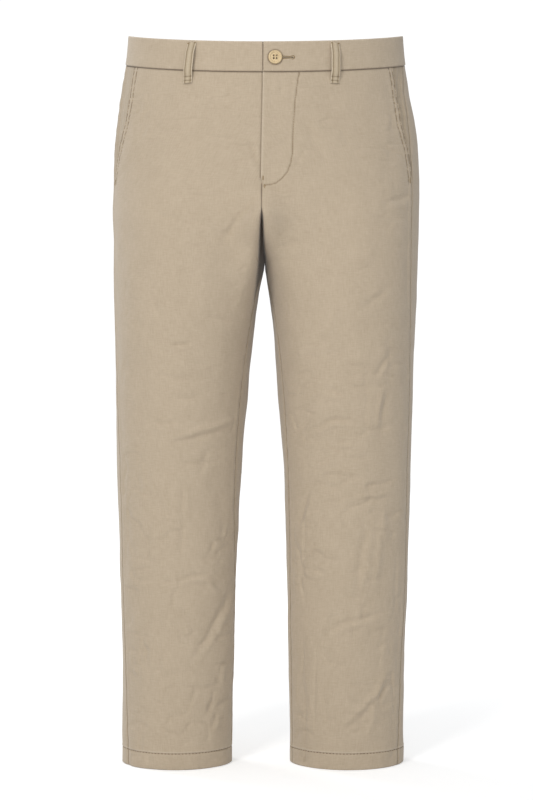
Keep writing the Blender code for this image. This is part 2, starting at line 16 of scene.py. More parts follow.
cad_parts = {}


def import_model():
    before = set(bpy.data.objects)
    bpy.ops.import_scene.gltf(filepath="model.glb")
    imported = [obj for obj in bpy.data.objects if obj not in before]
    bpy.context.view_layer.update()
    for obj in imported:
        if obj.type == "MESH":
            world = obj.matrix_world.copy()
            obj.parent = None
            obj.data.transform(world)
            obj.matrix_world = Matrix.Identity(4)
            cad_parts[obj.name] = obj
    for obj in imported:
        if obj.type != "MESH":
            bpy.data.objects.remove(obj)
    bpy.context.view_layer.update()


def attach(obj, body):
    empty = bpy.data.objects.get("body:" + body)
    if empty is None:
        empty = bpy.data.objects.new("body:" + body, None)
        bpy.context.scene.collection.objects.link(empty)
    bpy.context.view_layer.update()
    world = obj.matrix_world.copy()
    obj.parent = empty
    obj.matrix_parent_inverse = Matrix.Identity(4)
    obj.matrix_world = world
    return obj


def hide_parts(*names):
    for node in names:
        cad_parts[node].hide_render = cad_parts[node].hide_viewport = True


MM = 0.001
RIGHT, LEFT = -1, 1
FRONT, BACK = 1, -1
SIDES, FACES = (RIGHT, LEFT), (FRONT, BACK)
SIDE_NAMES = {RIGHT: "right", LEFT: "left"}

# ---- the cut ---------------------------------------------------------------------------------

CLOTH = 1.2               # wall of one layer
GAP = 0.3                 # clearance between pieces
LAYER = CLOTH + GAP       # from one layer to the next
BAND_WALL = 2.4           # waistband: two layers and its interlining
BAND_PROUD = 0.2          # waistband outside the panels' face

WAIST_TOP = 21.0
WAIST_SEAM = -19.5
POCKET_END = -193.0
LEG_START = -90.0         # below it the hips' form turns into that of two legs
FORK_TOP = -195.0         # the lower end of the fly
CROTCH = -295.0
HEM_FOLD = -956.5         # top of the turned-up layer
HEM_EDGE = -979.0

FRONT_DROP = 31.8         # how far the waist's middle dips in front
BACK_RISE = 16.0          # and rises behind
TILT_POWER = 1.15
HIP_LEVEL = -200.0        # from here down the rings are level
FORK_SLOPE = 0.3          # how a leg's ring passes the centre seam above the crotch
FORK_REACH = 200.0
FORK_REACH_LIMIT = 420.0
EDGE_LIMIT = 0.9996

OUTLINE_COLUMNS = ("height", "right_outer", "left_outer", "front", "back", "pointed",
                   "square_front", "square_back")
OUTLINE = (
    (40, -187.6, 186.4, 113, 112, 1.00, 3.0, 2.6),
    (21, -188.9, 187.8, 115, 114, 1.00, 3.0, 2.6),
    (-20, -192.8, 191.3, 117, 118, 1.00, 3.0, 2.6),
    (-60, -199.6, 196.4, 119, 126, 1.00, 3.0, 2.6),
    (-100, -205.2, 204.4, 120, 136, 1.00, 3.0, 2.6),
    (-143, -209.4, 208.6, 120, 145, 1.00, 3.0, 2.6),
    (-184, -210.2, 210.8, 119, 150, 1.00, 3.0, 2.6),
    (-226, -210.6, 210.4, 117, 148, 1.00, 3.0, 2.6),
    (-267, -209.8, 209.6, 114, 138, 1.00, 2.8, 2.5),
    (-309, -209.8, 208.4, 110, 124, 1.00, 2.6, 2.3),
    (-350, -209.4, 207.0, 106, 111, 1.00, 2.4, 2.2),
    (-412, -208.2, 204.2, 98, 97, 1.00, 2.2, 2.0),
    (-495, -207.0, 201.5, 87, 83, 1.04, 2.0, 2.0),
    (-578, -205.2, 198.8, 77, 72, 1.08, 2.0, 2.0),
    (-660, -202.9, 197.0, 70, 67, 1.12, 2.0, 2.0),
    (-743, -201.3, 194.6, 65.5, 64, 1.15, 2.0, 2.0),
    (-826, -198.8, 191.9, 62.5, 62, 1.18, 2.0, 2.0),
    (-909, -197.4, 190.3, 60, 60, 1.20, 2.0, 2.0),
    (-979, -197.1, 189.1, 58.5, 58.5, 1.20, 2.0, 2.0),
)
INNER_COLUMNS = ("height", "right_inner", "left_inner")
INNER_EDGES = (
    (-295, -2.0, -1.4), (-309, -4.6, 0.4), (-330, -8.6, 3.0), (-350, -11.4, 5.6),
    (-371, -14.2, 8.2), (-412, -19.4, 12.2), (-453, -23.8, 15.8), (-495, -28.0, 19.3),
    (-536, -31.6, 22.2), (-578, -34.6, 24.7), (-660, -39.0, 27.4), (-743, -42.6, 28.9),
    (-826, -44.6, 30.3), (-909, -46.6, 31.8), (-979, -47.1, 33.1),
)
CENTRE_COLUMNS = ("height", "front", "back")
CENTRE_SEAMS = (
    (40, -3.0, 0), (-60, -3.2, 0), (-143, -4.8, 0), (-226, -5.8, -0.4), (-262, -4.6, -1.0),
    (-295, -1.7, -1.7),
)
SIDE_COLUMNS = ("height", "right_seam", "left_seam")
SIDE_SEAMS = (
    (40, 9, 20), (-20, 9, 20), (-60, 10, 25.5), (-90, 11, 28), (-130, 12, 28.6), (-193, 14, 29),
    (-250, 14, 29.5), (-309, 14, 29), (-380, 16, 26), (-480, 19, 22.5), (-610, 22, 22),
    (-743, 22, 19), (-860, 24, 25), (-979, 30, 29),
)
MOUTH_COLUMNS = ("height", "right_mouth", "left_mouth")
POCKET_MOUTHS = (
    (-20, 25.3, 20), (-50, 24.6, 14.5), (-68, 23.8, 12.6), (-95, 21.5, 11.3), (-120, 17.5, 8),
    (-135, 14.2, 5.4), (-160, 8, 2.4), (-193, 0, 0),
)
INSEAM_COLUMNS = ("height", "right_seam", "left_seam")
INSEAMS = (
    (-295, 0, 0), (-330, 14, 12), (-380, 21, 19), (-480, 25, 22), (-610, 23, 20),
    (-743, 8, 18.5), (-860, 5, 18), (-979, 10, 16),
)

# Creases of the worn-in cloth: where each starts, its middle and its end, across and up, then
# half its width, its depth (a ridge is above 0) and the ridge that stands below it or to its
# left as it is seen from the front.
CREASE_COLUMNS = ("side", "x1", "z1", "x2", "z2", "x3", "z3", "width", "depth", "beside")
FRONT_CREASES = (
    (RIGHT, -143, -54, -113, -66, -84, -79, 9, -0.6, 0),
    (RIGHT, -22, -136, -16, -157, -8, -179, 5, -1.0, 0.4),
    (RIGHT, -11, -213, -30, -239, -54, -270, 8, -1.6, 0.4),
    (RIGHT, -149, -225, -126, -246, -77, -251, 9, -0.8, 0),
    (RIGHT, -154, -342, -147, -359, -141, -377, 6, -0.5, 0),
    (RIGHT, -77, -374, -58, -375, -38, -377, 5, -0.6, 0),
    (RIGHT, -128, -411, -114, -409, -101, -405, 4, -1.1, 0.6),
    (RIGHT, -127, -454, -114, -455, -101, -456, 5, -0.5, 0),
    (RIGHT, -129, -481, -108, -480, -88, -478, 10, -0.7, 0),
    (RIGHT, -153, -509, -136, -512, -118, -513, 6, -0.6, 0.3),
    (RIGHT, -125, -533, -88, -522, -41, -508, 6, 0.9, -0.6),
    (RIGHT, -127, -581, -127, -597, -127, -615, 6, -0.5, 0),
    (RIGHT, -112, -597, -112, -616, -112, -635, 5, -0.6, 0.4),
    (RIGHT, -139, -622, -134, -630, -129, -636, 4, -0.6, 0),
    (RIGHT, -113, -642, -113, -666, -113, -692, 6, -0.6, 0),
    (RIGHT, -57, -642, -57, -659, -57, -675, 6, -0.5, 0),
    (RIGHT, -138, -724, -132, -723, -125, -723, 4, -0.6, 0),
    (RIGHT, -119, -723, -99, -719, -78, -713, 5, -0.9, 0.5),
    (RIGHT, -89, -719, -75, -731, -62, -746, 5, 0.6, -0.4),
    (RIGHT, -82, -709, -71, -720, -59, -728, 4, -0.5, 0),
    (RIGHT, -48, -740, -69, -783, -95, -827, 7, -1.0, 0.6),
    (RIGHT, -58, -840, -58, -855, -59, -871, 6, 0.6, 0),
    (RIGHT, -69, -885, -75, -896, -82, -905, 5, -0.6, 0),
    (RIGHT, -65, -905, -70, -917, -75, -928, 5, -0.5, 0.4),
    (RIGHT, -48, -887, -59, -893, -69, -898, 5, -0.6, 0),
    (RIGHT, -116, -948, -105, -943, -96, -939, 6, -0.5, 0),
    (LEFT, 21, -50, 21, -67, 21, -83, 6, -0.5, 0),
    (LEFT, 51, -113, 60, -137, 68, -159, 12, -0.8, 0),
    (LEFT, 67, -231, 71, -270, 74, -310, 12, -0.8, 0),
    (LEFT, 5, -202, 18, -209, 32, -208, 4, -0.6, 0.4),
    (LEFT, 8, -213, 21, -218, 39, -216, 4, -0.5, 0.3),
    (LEFT, 163, -218, 177, -213, 191, -205, 6, -0.8, 0.4),
    (LEFT, 143, -234, 162, -238, 180, -241, 7, -0.7, 0),
    (LEFT, 144, -273, 163, -277, 183, -280, 7, -0.5, 0),
    (LEFT, 98, -346, 87, -375, 78, -402, 7, 0.7, 0),
    (LEFT, 65, -372, 57, -383, 48, -395, 6, -0.6, 0),
    (LEFT, 164, -329, 148, -345, 131, -359, 6, -0.6, 0),
    (LEFT, 161, -421, 153, -436, 143, -451, 5, -0.8, 0.4),
    (LEFT, 155, -468, 152, -493, 149, -518, 5, 0.8, -0.5),
    (LEFT, 75, -464, 90, -470, 105, -476, 5, -0.7, 0.5),
    (LEFT, 40, -446, 49, -444, 58, -441, 4, -0.6, 0),
    (LEFT, 45, -521, 53, -514, 62, -506, 4, -0.7, 0.4),
    (LEFT, 52, -528, 89, -509, 115, -508, 5, -1.1, 0.6),
    (LEFT, 93, -538, 101, -538, 111, -537, 3.5, -0.9, 0.6),
    (LEFT, 132, -522, 151, -520, 169, -516, 4.5, -0.7, 0),
    (LEFT, 132, -598, 153, -593, 173, -588, 4, -0.8, 0),
    (LEFT, 119, -611, 141, -609, 163, -605, 5, 0.8, -0.4),
    (LEFT, 56, -605, 50, -628, 42, -652, 5, -0.9, 0.4),
    (LEFT, 138, -622, 138, -644, 138, -669, 5, 0.6, 0),
    (LEFT, 159, -622, 159, -644, 160, -669, 5, 0.5, 0),
    (LEFT, 136, -642, 126, -705, 116, -770, 8, -0.8, 0.4),
    (LEFT, 156, -642, 152, -689, 148, -736, 7, 0.7, 0),
    (LEFT, 76, -800, 110, -779, 160, -770, 6, -0.9, 0.5),
    (LEFT, 52, -804, 52, -831, 52, -858, 8, -0.5, 0),
    (LEFT, 163, -848, 140, -885, 106, -915, 6, 0.9, -0.5),
    (LEFT, 153, -858, 145, -898, 137, -939, 6, 0.6, 0),
    (LEFT, 62, -709, 71, -711, 79, -712, 4, -0.6, 0),
)
# The seat hangs in soft arcs under the hips, and the knees' hollows are crossed by short folds.
BACK_CREASES = (
    (RIGHT, -150, -232, -100, -262, -40, -272, 11, -1.6, 0.7),
    (RIGHT, -168, -268, -118, -296, -58, -306, 9, -1.3, 0.6),
    (RIGHT, -120, -318, -84, -330, -46, -334, 8, -0.9, 0.4),
    (RIGHT, -18, -252, -46, -284, -86, -322, 8, -1.2, 0.5),
    (RIGHT, -70, -70, -58, -110, -52, -150, 12, -0.7, 0),
    (RIGHT, -160, -512, -122, -522, -78, -520, 7, -1.3, 0.7),
    (RIGHT, -150, -546, -108, -552, -62, -543, 6, -1.2, 0.6),
    (RIGHT, -140, -574, -112, -580, -84, -580, 5, -0.8, 0.4),
    (RIGHT, -92, -610, -94, -650, -100, -694, 7, -0.6, 0.3),
    (RIGHT, -142, -640, -138, -690, -136, -740, 8, 0.6, 0),
    (RIGHT, -76, -742, -98, -758, -124, -764, 6, -0.7, 0.4),
    (RIGHT, -150, -868, -126, -880, -100, -884, 6, -0.8, 0.4),
    (RIGHT, -88, -902, -102, -914, -120, -920, 5, -0.6, 0.3),
    (LEFT, 152, -240, 104, -268, 44, -276, 11, -1.5, 0.7),
    (LEFT, 170, -276, 128, -302, 72, -314, 9, -1.2, 0.5),
    (LEFT, 112, -330, 82, -341, 50, -345, 8, -0.8, 0.4),
    (LEFT, 14, -258, 40, -288, 74, -330, 8, -1.3, 0.5),
    (LEFT, 74, -74, 64, -112, 55, -146, 12, -0.6, 0),
    (LEFT, 158, -506, 116, -518, 70, -516, 7, -1.2, 0.6),
    (LEFT, 146, -538, 104, -549, 56, -545, 6, -1.3, 0.7),
    (LEFT, 128, -570, 104, -576, 78, -573, 5, -0.7, 0.4),
    (LEFT, 84, -620, 88, -660, 92, -700, 7, -0.6, 0.3),
    (LEFT, 134, -636, 131, -684, 128, -728, 8, 0.6, 0),
    (LEFT, 66, -760, 92, -774, 122, -776, 6, -0.8, 0.4),
    (LEFT, 140, -874, 118, -884, 92, -886, 6, -0.7, 0.4),
    (LEFT, 74, -908, 94, -918, 114, -921, 5, -0.6, 0.3),
)

# ---- rings -----------------------------------------------------------------------------------


def smooth_curve(table, columns, name):
    """A smooth curve through one column against height, which never overshoots its rows."""
    index = columns.index(name)
    rows = sorted((row[0], row[index]) for row in table)
    heights = np.array([row[0] for row in rows], dtype=float)
    values = np.array([row[1] for row in rows], dtype=float)
    slopes = np.diff(values) / np.diff(heights)
    tangents = np.concatenate(([slopes[0]], np.zeros(len(slopes) - 1), [slopes[-1]]))
    for i in range(1, len(slopes)):
        if slopes[i - 1] * slopes[i] > 0:
            tangents[i] = 2 * slopes[i - 1] * slopes[i] / (slopes[i - 1] + slopes[i])

    def at(height):
        height = np.clip(height, heights[0], heights[-1])
        i = np.clip(np.searchsorted(heights, height) - 1, 0, len(slopes) - 1)
        step = heights[i + 1] - heights[i]
        t = (height - heights[i]) / step
        return ((1 + 2 * t) * (1 - t) ** 2 * values[i] + t * (1 - t) ** 2 * step * tangents[i]
                + t * t * (3 - 2 * t) * values[i + 1] + t * t * (t - 1) * step * tangents[i + 1])

    return at


def curves(table, columns, keys, names):
    """Smooth curves of two columns of a table, by side or by face."""
    return {key: smooth_curve(table, columns, name) for key, name in zip(keys, names)}


outer_edge = curves(OUTLINE, OUTLINE_COLUMNS, SIDES, ("right_outer", "left_outer"))
face_depth = curves(OUTLINE, OUTLINE_COLUMNS, FACES, ("front", "back"))
pointed = smooth_curve(OUTLINE, OUTLINE_COLUMNS, "pointed")
squareness = curves(OUTLINE, OUTLINE_COLUMNS, FACES, ("square_front", "square_back"))
inner_edge = curves(INNER_EDGES, INNER_COLUMNS, SIDES, ("right_inner", "left_inner"))
centre_seam = curves(CENTRE_SEAMS, CENTRE_COLUMNS, FACES, ("front", "back"))
side_seam = curves(SIDE_SEAMS, SIDE_COLUMNS, SIDES, ("right_seam", "left_seam"))
pocket_mouth = curves(POCKET_MOUTHS, MOUTH_COLUMNS, SIDES, ("right_mouth", "left_mouth"))
inseam = curves(INSEAMS, INSEAM_COLUMNS, SIDES, ("right_seam", "left_seam"))


def fade(value, start, end):
    """From 0 at one place to 1 at another, level at both."""
    share = np.clip((value - start) / (end - start), 0.0, 1.0)
    return share * share * (3 - 2 * share)


def near(distance, reach):
    """A soft hump: 1 at no distance, and almost 0 at twice its reach."""
    return np.exp(-(distance / reach) ** 2)


def centre_plane(side, face, height):
    """Where one half ends at the centre seam, across the body."""
    return centre_seam[face](height) + side * GAP / 2


def inner_reach(side, face, height):
    """Inner edge of a leg's ring across the body; above the crotch it is past the seam."""
    rise = np.maximum(height - CROTCH, 0.0)
    reach = FORK_SLOPE * rise + FORK_REACH * (rise / (FORK_TOP - CROTCH)) ** 3
    past = centre_plane(side, face, height) - side * np.minimum(reach, FORK_REACH_LIMIT)
    return np.where(height <= CROTCH, inner_edge[side](height), past)


def leg_middle(side, height):
    """Middle of a leg across the body."""
    return (outer_edge[side](height) + inner_edge[side](height)) / 2


def across(side, face, height, angle, depth):
    """Place across the body of a point on a ring, a depth under its outer face."""
    cosine = np.cos(np.radians(angle))
    middle = leg_middle(side, height)
    edge = np.where(cosine > 0, outer_edge[side](height), inner_reach(side, face, height))
    return middle + side * (np.abs(edge - middle) - depth) * cosine


def bulge(side, face, height, angle, depth=0.0):
    """Share of the full depth that a ring has at an angle: 0 at its edges, 1 where deepest."""
    cosine = np.cos(np.radians(angle))
    square = np.where(cosine > 0, 2.0, squareness[face](height))
    leg = np.maximum(1 - np.abs(cosine) ** square, 0.0) ** (pointed(height) / 2)
    centre = centre_seam[face](height)
    half = np.abs(outer_edge[side](height) - centre) - depth
    share = (across(side, face, height, angle, depth) - centre) / half
    hip = np.maximum(1 - share ** 2, 0.0) ** 0.5
    return hip + (leg - hip) * fade(height, LEG_START, CROTCH)


def height_at(level, face, share):
    """Height of a point: the waist tilts, and the tilt fades out at the hips."""
    tilt = FRONT_DROP if face == FRONT else -BACK_RISE
    return level - fade(level, HIP_LEVEL, WAIST_SEAM) * tilt * share ** TILT_POWER


def ring_point(side, level, angle, depth=0.0):
    """Points of one half, a depth under its outer face."""
    level, angle, depth = np.broadcast_arrays(*np.atleast_1d(level, angle, depth))
    points = np.empty(level.shape + (3,))
    for face in (FRONT, BACK):
        here = (np.sin(np.radians(angle)) >= 0) == (face == FRONT)
        if here.any():
            row, turn, under = level[here], angle[here], depth[here]
            height = height_at(row, face, bulge(side, face, row, turn))
            out = (face_depth[face](height) - under) * bulge(side, face, height, turn, under)
            points[here] = np.stack([across(side, face, height, turn, under), -face * out,
                                     height], axis=-1)
    return points


def unit(vectors):
    """The same directions at a length of 1."""
    return vectors / np.maximum(np.linalg.norm(vectors, axis=-1, keepdims=True), 1e-9)


def run_along(points):
    """How far each point of a line is from the line's start, for one line or for rows of them."""
    steps = np.linalg.norm(np.diff(points, axis=-2), axis=-1)
    return np.concatenate([np.zeros(steps.shape[:-1] + (1,)), np.cumsum(steps, axis=-1)], axis=-1)


def outward(side, level, angle):
    """Unit normals of the cloth's outer face."""
    along = ring_point(side, level, angle + 0.5) - ring_point(side, level, angle - 0.5)
    up = ring_point(side, level + 0.5, angle) - ring_point(side, level - 0.5, angle)
    return unit(np.cross(up, along) * side)


def turn_for(side, level, angle, distance):
    """The change of angle that takes up a distance along the ring."""
    step = ring_point(side, level, angle + 0.5) - ring_point(side, level, angle - 0.5)
    return distance / np.linalg.norm(step, axis=-1)


def centre_angle(side, face, level):
    """The angle at which a ring meets the centre seam's plane, positive on both faces."""
    height = height_at(level, face, 1.0)
    middle = leg_middle(side, height)
    half = np.abs(inner_reach(side, face, height) - middle)
    ratio = np.minimum(np.abs(centre_plane(side, face, height) - middle) / half, EDGE_LIMIT)
    return 180 - np.degrees(np.arccos(ratio))


def angle_at_x(side, face, level, x):
    """The angle at which the surface reaches a place across the body."""
    height = height_at(level, face, 1.0)
    for _ in range(12):
        middle = leg_middle(side, height)
        inside = side * (x - middle) < 0
        edge = np.where(inside, inner_reach(side, face, height), outer_edge[side](height))
        cosine = np.clip(side * (x - middle) / np.abs(edge - middle), -1.0, 1.0)
        angle = np.degrees(np.arccos(cosine)) * face
        height = height_at(level, face, bulge(side, face, level, angle))
    return angle


def level_at(side, face, x, z):
    """Level and angle of the place that has a given x and z."""
    level = np.array(z, dtype=float)
    for _ in range(12):
        angle = angle_at_x(side, face, level, x)
        level = level + z - height_at(level, face, bulge(side, face, level, angle))
    return level, angle_at_x(side, face, level, x)


# ---- unevenness of the cloth -----------------------------------------------------------------

# Each kind of unevenness has a seed number of its own, so that no two of them are alike.

def scatter(*cells):
    """An even random number from -1 to 1 for each cell of a lattice, the same at every run. The
    numbers in it only have to mix the bits of the cell's own numbers well."""
    mixed = np.full(np.broadcast(*cells).shape, 2166136261, dtype=np.uint64)
    for cell in cells:
        mixed = (mixed ^ (cell.astype(np.int64) + 40000).astype(np.uint64)) * 16777619
        mixed &= 0xFFFFFFFF
        mixed = ((mixed ^ (mixed >> 15)) * 2246822519) & 0xFFFFFFFF
    return (mixed ^ (mixed >> 13)) % 65536 / 32767.5 - 1.0


def uneven(points, sizes, seed):
    """Soft random hills from -1 to 1, with a given size along each axis."""
    scaled = points / np.asarray(sizes, dtype=float)
    cell = np.floor(scaled).astype(np.int64)
    part = scaled - cell
    part = part * part * (3 - 2 * part)
    total = 0.0
    for corner in np.ndindex(*(2,) * points.shape[-1]):
        weight = 1.0
        for axis, step in enumerate(corner):
            weight = weight * (part[..., axis] if step else 1 - part[..., axis])
        cells = [cell[..., axis] + step for axis, step in enumerate(corner)]
        total = total + weight * scatter(np.full(weight.shape, seed), *cells)
    return total


def wave(place, length, seed):
    """Soft random ups and downs along a line, from -1 to 1."""
    return uneven(np.asarray(place, dtype=float)[..., None], (length,), seed)


CREASE_DEPTH, CREASE_WIDTH = 2.5, 0.64   # shares of the table's sizes that the cloth takes
HILLS = ((1.3, (62, 62, 120), 3), (0.75, (27, 27, 44), 5), (0.26, (12, 12, 20), 7),
         (0.09, (5, 5, 8), 9))           # height, size along each axis, and seed


def crease_relief(points, table, side):
    """How far the creases of one face push its cloth out."""
    x = points[..., 0] + 2.6 * uneven(points, (19, 19, 19), 81)
    z = points[..., 2] + 2.6 * uneven(points, (17, 17, 17), 83)
    relief = np.zeros(x.shape)
    share = np.linspace(0, 1, 15)
    for row in table:
        crease = dict(zip(CREASE_COLUMNS, row))
        if crease["side"] != side:
            continue
        ends = [np.array([crease["x" + n], crease["z" + n]], dtype=float) for n in "123"]
        weights = ((1 - share) * (1 - 2 * share), 4 * share * (1 - share),
                   share * (2 * share - 1))
        line = sum(w[:, None] * end for w, end in zip(weights, ends))
        width = crease["width"] * CREASE_WIDTH
        low, high = line.min(axis=0) - 4 * width, line.max(axis=0) + 4 * width
        here = (x > low[0]) & (x < high[0]) & (z > low[1]) & (z < high[1])
        if not here.any():
            continue
        spots = np.stack([x[here], z[here]], axis=-1)
        best = np.full(len(spots), 1e9)
        offset, along = np.zeros(len(spots)), np.zeros(len(spots))
        for k, (a, b) in enumerate(zip(line, line[1:])):
            run = b - a
            t = np.clip((spots - a) @ run / (run @ run), 0, 1)
            away = spots - a - t[:, None] * run
            distance = np.linalg.norm(away, axis=1)
            closer = distance < best
            best[closer] = distance[closer]
            below = np.array([run[1], -run[0]])
            below = below if below @ (1, -1) > 0 else -below
            offset[closer] = (away @ below / np.linalg.norm(below))[closer]
            along[closer] = ((k + t) / (len(line) - 1))[closer]
        strength = np.sin(np.pi * (0.04 + 0.92 * along)) ** 0.7
        relief[here] += strength * (crease["depth"] * near(best, width)
                                    + crease["beside"] * near(offset - 1.9 * width, width)
                                    * near(np.maximum(best - np.abs(offset), 0), width))
    return CREASE_DEPTH * relief


def drape(points, normals, side):
    """The cloth's own unevenness: soft hills, and creases on the face that a point is on."""
    hills = sum(height * uneven(points, sizes, seed) for height, sizes, seed in HILLS)
    # Fine crumples run along a few winding lines, thickest from the knees down.
    line = uneven(points, (30, 30, 13), 12)
    cross_line = uneven(points, (15, 15, 33), 14)
    broad = fade(np.abs(normals[..., 1]), 0.3, 0.75)
    crumpled = broad * (0.6 + 0.4 * fade(points[..., 2], -330, -480)) * fade(
        uneven(points, (44, 44, 40), 16), -0.3, 0.35)
    upright = broad * (0.35 + 0.65 * fade(points[..., 2], -520, -640)) * fade(
        uneven(points, (40, 40, 56), 18), -0.1, 0.5)
    hills += 1.5 * crumpled * (0.5 * fade(line, -0.3, 0.3) - near(line, 0.12))
    hills += 1.4 * upright * (0.5 * fade(cross_line, -0.3, 0.3) - near(cross_line, 0.12))
    front = fade(points[..., 1], 14, -14)
    return (hills + front * crease_relief(points, FRONT_CREASES, side)
            + (1 - front) * crease_relief(points, BACK_CREASES, side))


# ---- panels ----------------------------------------------------------------------------------

Panel = namedtuple("Panel", "side levels angles from_start to_end points normals")


def fine_levels(marks, top, bottom, step):
    """Levels from top to bottom at an even step, with closer ones about each mark."""
    levels = list(np.arange(top, bottom, -step)) + [bottom]
    for mark, distances in marks:
        if not bottom <= mark <= top:
            continue
        reach = max(distances)
        levels = [level for level in levels if abs(level - mark) > reach]
        levels += [mark + d for d in distances] + [mark - d for d in distances if d]
    return np.array(sorted({round(float(v), 3) for v in levels if bottom <= v <= top},
                           reverse=True))


def lay_out(side, levels, start, end, at_start, at_end, between):
    """Fine columns of a panel: at given distances from its two edges, and evenly between."""
    rough = start[:, None] + (end - start)[:, None] * np.linspace(0, 1, 181)
    angles, from_start, to_end = [], [], []
    for row, run in zip(rough, run_along(ring_point(side, levels[:, None], rough))):
        width = run[-1]
        middle = np.linspace(at_start[-1], width - at_end[-1], between + 2)[1:-1]
        stops = np.concatenate([at_start, middle, width - np.array(at_end)[::-1]])
        angles.append(np.interp(stops, run, row))
        from_start.append(stops)
        to_end.append(width - stops)
    return np.array(angles), np.array(from_start), np.array(to_end)


def seam_relief(distance, level, seed):
    """A pressed-open seam: a groove, the ridge of its allowance and a little pucker."""
    pucker = 0.4 * wave(level, 9.0, seed) + 0.26 * wave(level, 5.2, seed + 1)
    return (-0.85 * near(distance, 1.1) + 0.2 * near(distance - 6.0, 3.2)
            - 0.12 * near(distance - 10.0, 1.4)
            + pucker * near(distance - 2.5, 4.0) * (1 - near(distance, 1.2)))


def topstitch_relief(offset, place, seed, pull=1.0):
    """A row of stitches pulled into the cloth, with the cloth puckered beside it."""
    pucker = 0.4 * wave(place, 5.2, seed) + 0.3 * wave(place, 3.3, seed + 1)
    return (-0.55 * near(offset, 0.9)
            + pull * pucker * near(offset, 3.6) * (1 - 0.8 * near(offset, 0.9)))


def rolled_edge(distance, radius):
    """How far a face sinks at a rounded edge, at a distance from it."""
    share = np.clip(1 - distance / radius, 0, 1)
    return radius * (1 - np.sqrt(1 - share ** 2))


# Distances of the fine columns from an edge, and of the fine levels from a mark.
EDGE = [0.0, 0.06, 0.2, 0.6, 1.1, 1.7, 2.4, 3.3, 4.5, 6.0, 8.0, 10.5]
MOUTH_EDGE = [0.0, 0.06, 0.2, 0.6, 1.1, 1.6, 2.0, 2.4, 3.0, 4.0, 5.2, 6.6, 7.5, 8.1, 8.6, 9.1, 9.8,
              11.2]
FLY_EDGE = EDGE + [float(d) for d in np.arange(12.2, 54.0, 1.7)]
HEM_ROUND = 1.45          # radius of the hem's lower fold
HEM_STITCH = -957.4
PANEL_TOP = WAIST_SEAM + 2.6   # the seam allowance stands up inside the waistband
TOP_MARKS = (WAIST_SEAM, (0.0, 0.4, 0.8, 1.2, 1.8, 2.6))
HEM_MARKS = (HEM_STITCH, (0.0, 0.5, 1.0, 1.6, 2.4, 3.6))
EDGE_MARKS = (HEM_EDGE, (0.0, 0.1, 0.3, 0.7, 1.2, 1.8, 2.8))
SEAM_LAP = 0.35           # joined edges meet with no light between them
FORK_LAP = 1.1            # and meet deeper where the fork pulls on them
FORK_PULL = {FRONT: (FORK_TOP, -250), BACK: (-190, -235)}   # levels over which that sets in
FORK_WALL = {FRONT: (-228, -256), BACK: (-195, -235)}       # and over which the seam goes smooth
LEVEL_STEPS = {FRONT: (1.75, 2.45), BACK: (2.6, 3.2)}       # beside the pocket and below it
FLY_LAP = 1.0             # the left front's folded edge lies this far past the seam
FLY_TUCK = 10.0           # the right front runs this far under it
MOUTH_ROWS = (2.0, 8.6)   # distances of the pocket's two stitch rows from its mouth
# Height, reach and lift of each place where a pocket's mouth stands open.
MOUTH_GAPES = {LEFT: ((-96, 7, 1.3), (-143, 5, 1.2), (-66, 6, 0.5)),
               RIGHT: ((-88, 12, 0.6), (-128, 9, 0.7), (-158, 7, 0.5))}
# Across and up, the row of stitches that holds the placket.
J_STITCH = ((43.7, -51.5), (41.6, -62), (37.9, -91.5), (36.4, -114), (35.3, -136), (34.5, -158),
            (32.6, -170), (28.1, -182), (20.6, -191), (13.0, -197), (4.0, -199), (-3.5, -200.2))


def in_pocket(level):
    """1 beside the pocket's mouth, 0 below it."""
    return fade(level, POCKET_END - 3, POCKET_END + 9)


def in_fly(level):
    """1 beside the fly, 0 below it."""
    return fade(level, FORK_TOP - 4, FORK_TOP + 8)


def on_line(points, spots):
    """Distance of each point from a line of (x, z) spots, and the place along it."""
    x, z = points[..., 0], points[..., 2]
    best, along, run = np.full(x.shape, 1e9), np.zeros(x.shape), 0.0
    spots = np.array(spots, dtype=float)
    for a, b in zip(spots, spots[1:]):
        step, length = b - a, np.linalg.norm(b - a)
        t = np.clip(((x - a[0]) * step[0] + (z - a[1]) * step[1]) / length ** 2, 0, 1)
        distance = np.hypot(x - a[0] - t * step[0], z - a[1] - t * step[1])
        along = np.where(distance < best, run + t * length, along)
        best = np.minimum(best, distance)
        run += length
    return best, along


def panel_levels(upper_step, lower_step):
    """A panel's levels, at one step down to below the pocket and at another from there."""
    marks = (TOP_MARKS, HEM_MARKS, EDGE_MARKS)
    upper = fine_levels(marks, PANEL_TOP, POCKET_END - 20, upper_step)
    return np.concatenate([upper, fine_levels(marks, POCKET_END - 21.5, HEM_EDGE, lower_step)])


def hem_relief(level, place, seed):
    """At the hem a panel rolls in, and its stitches pull short upright streaks into it."""
    row = topstitch_relief(level - HEM_STITCH, place, seed)
    streaks = 0.3 * wave(place, 6.0, seed + 4) * fade(level, HEM_STITCH, HEM_STITCH - 6)
    return (row + streaks + 0.4 * near(level - HEM_STITCH - 2.2, 1.2)
            + 0.25 * fade(level, HEM_STITCH + 1, HEM_STITCH - 3)
            - rolled_edge(level - HEM_EDGE, HEM_ROUND))


def top_relief(level, place, seed):
    """Under the waistband a panel is drawn in, and it puckers a little below."""
    down = WAIST_SEAM - level
    return (-0.85 * fade(down, 1.3, -0.3)
            + 0.3 * wave(place, 8.0, seed) * near(down - 3.5, 5.0) * fade(down, 0, 3))


def held_smooth(level):
    """The waistband holds the cloth close to it without folds."""
    return 0.06 + 0.94 * fade(level, WAIST_SEAM - 1, WAIST_SEAM - 26)


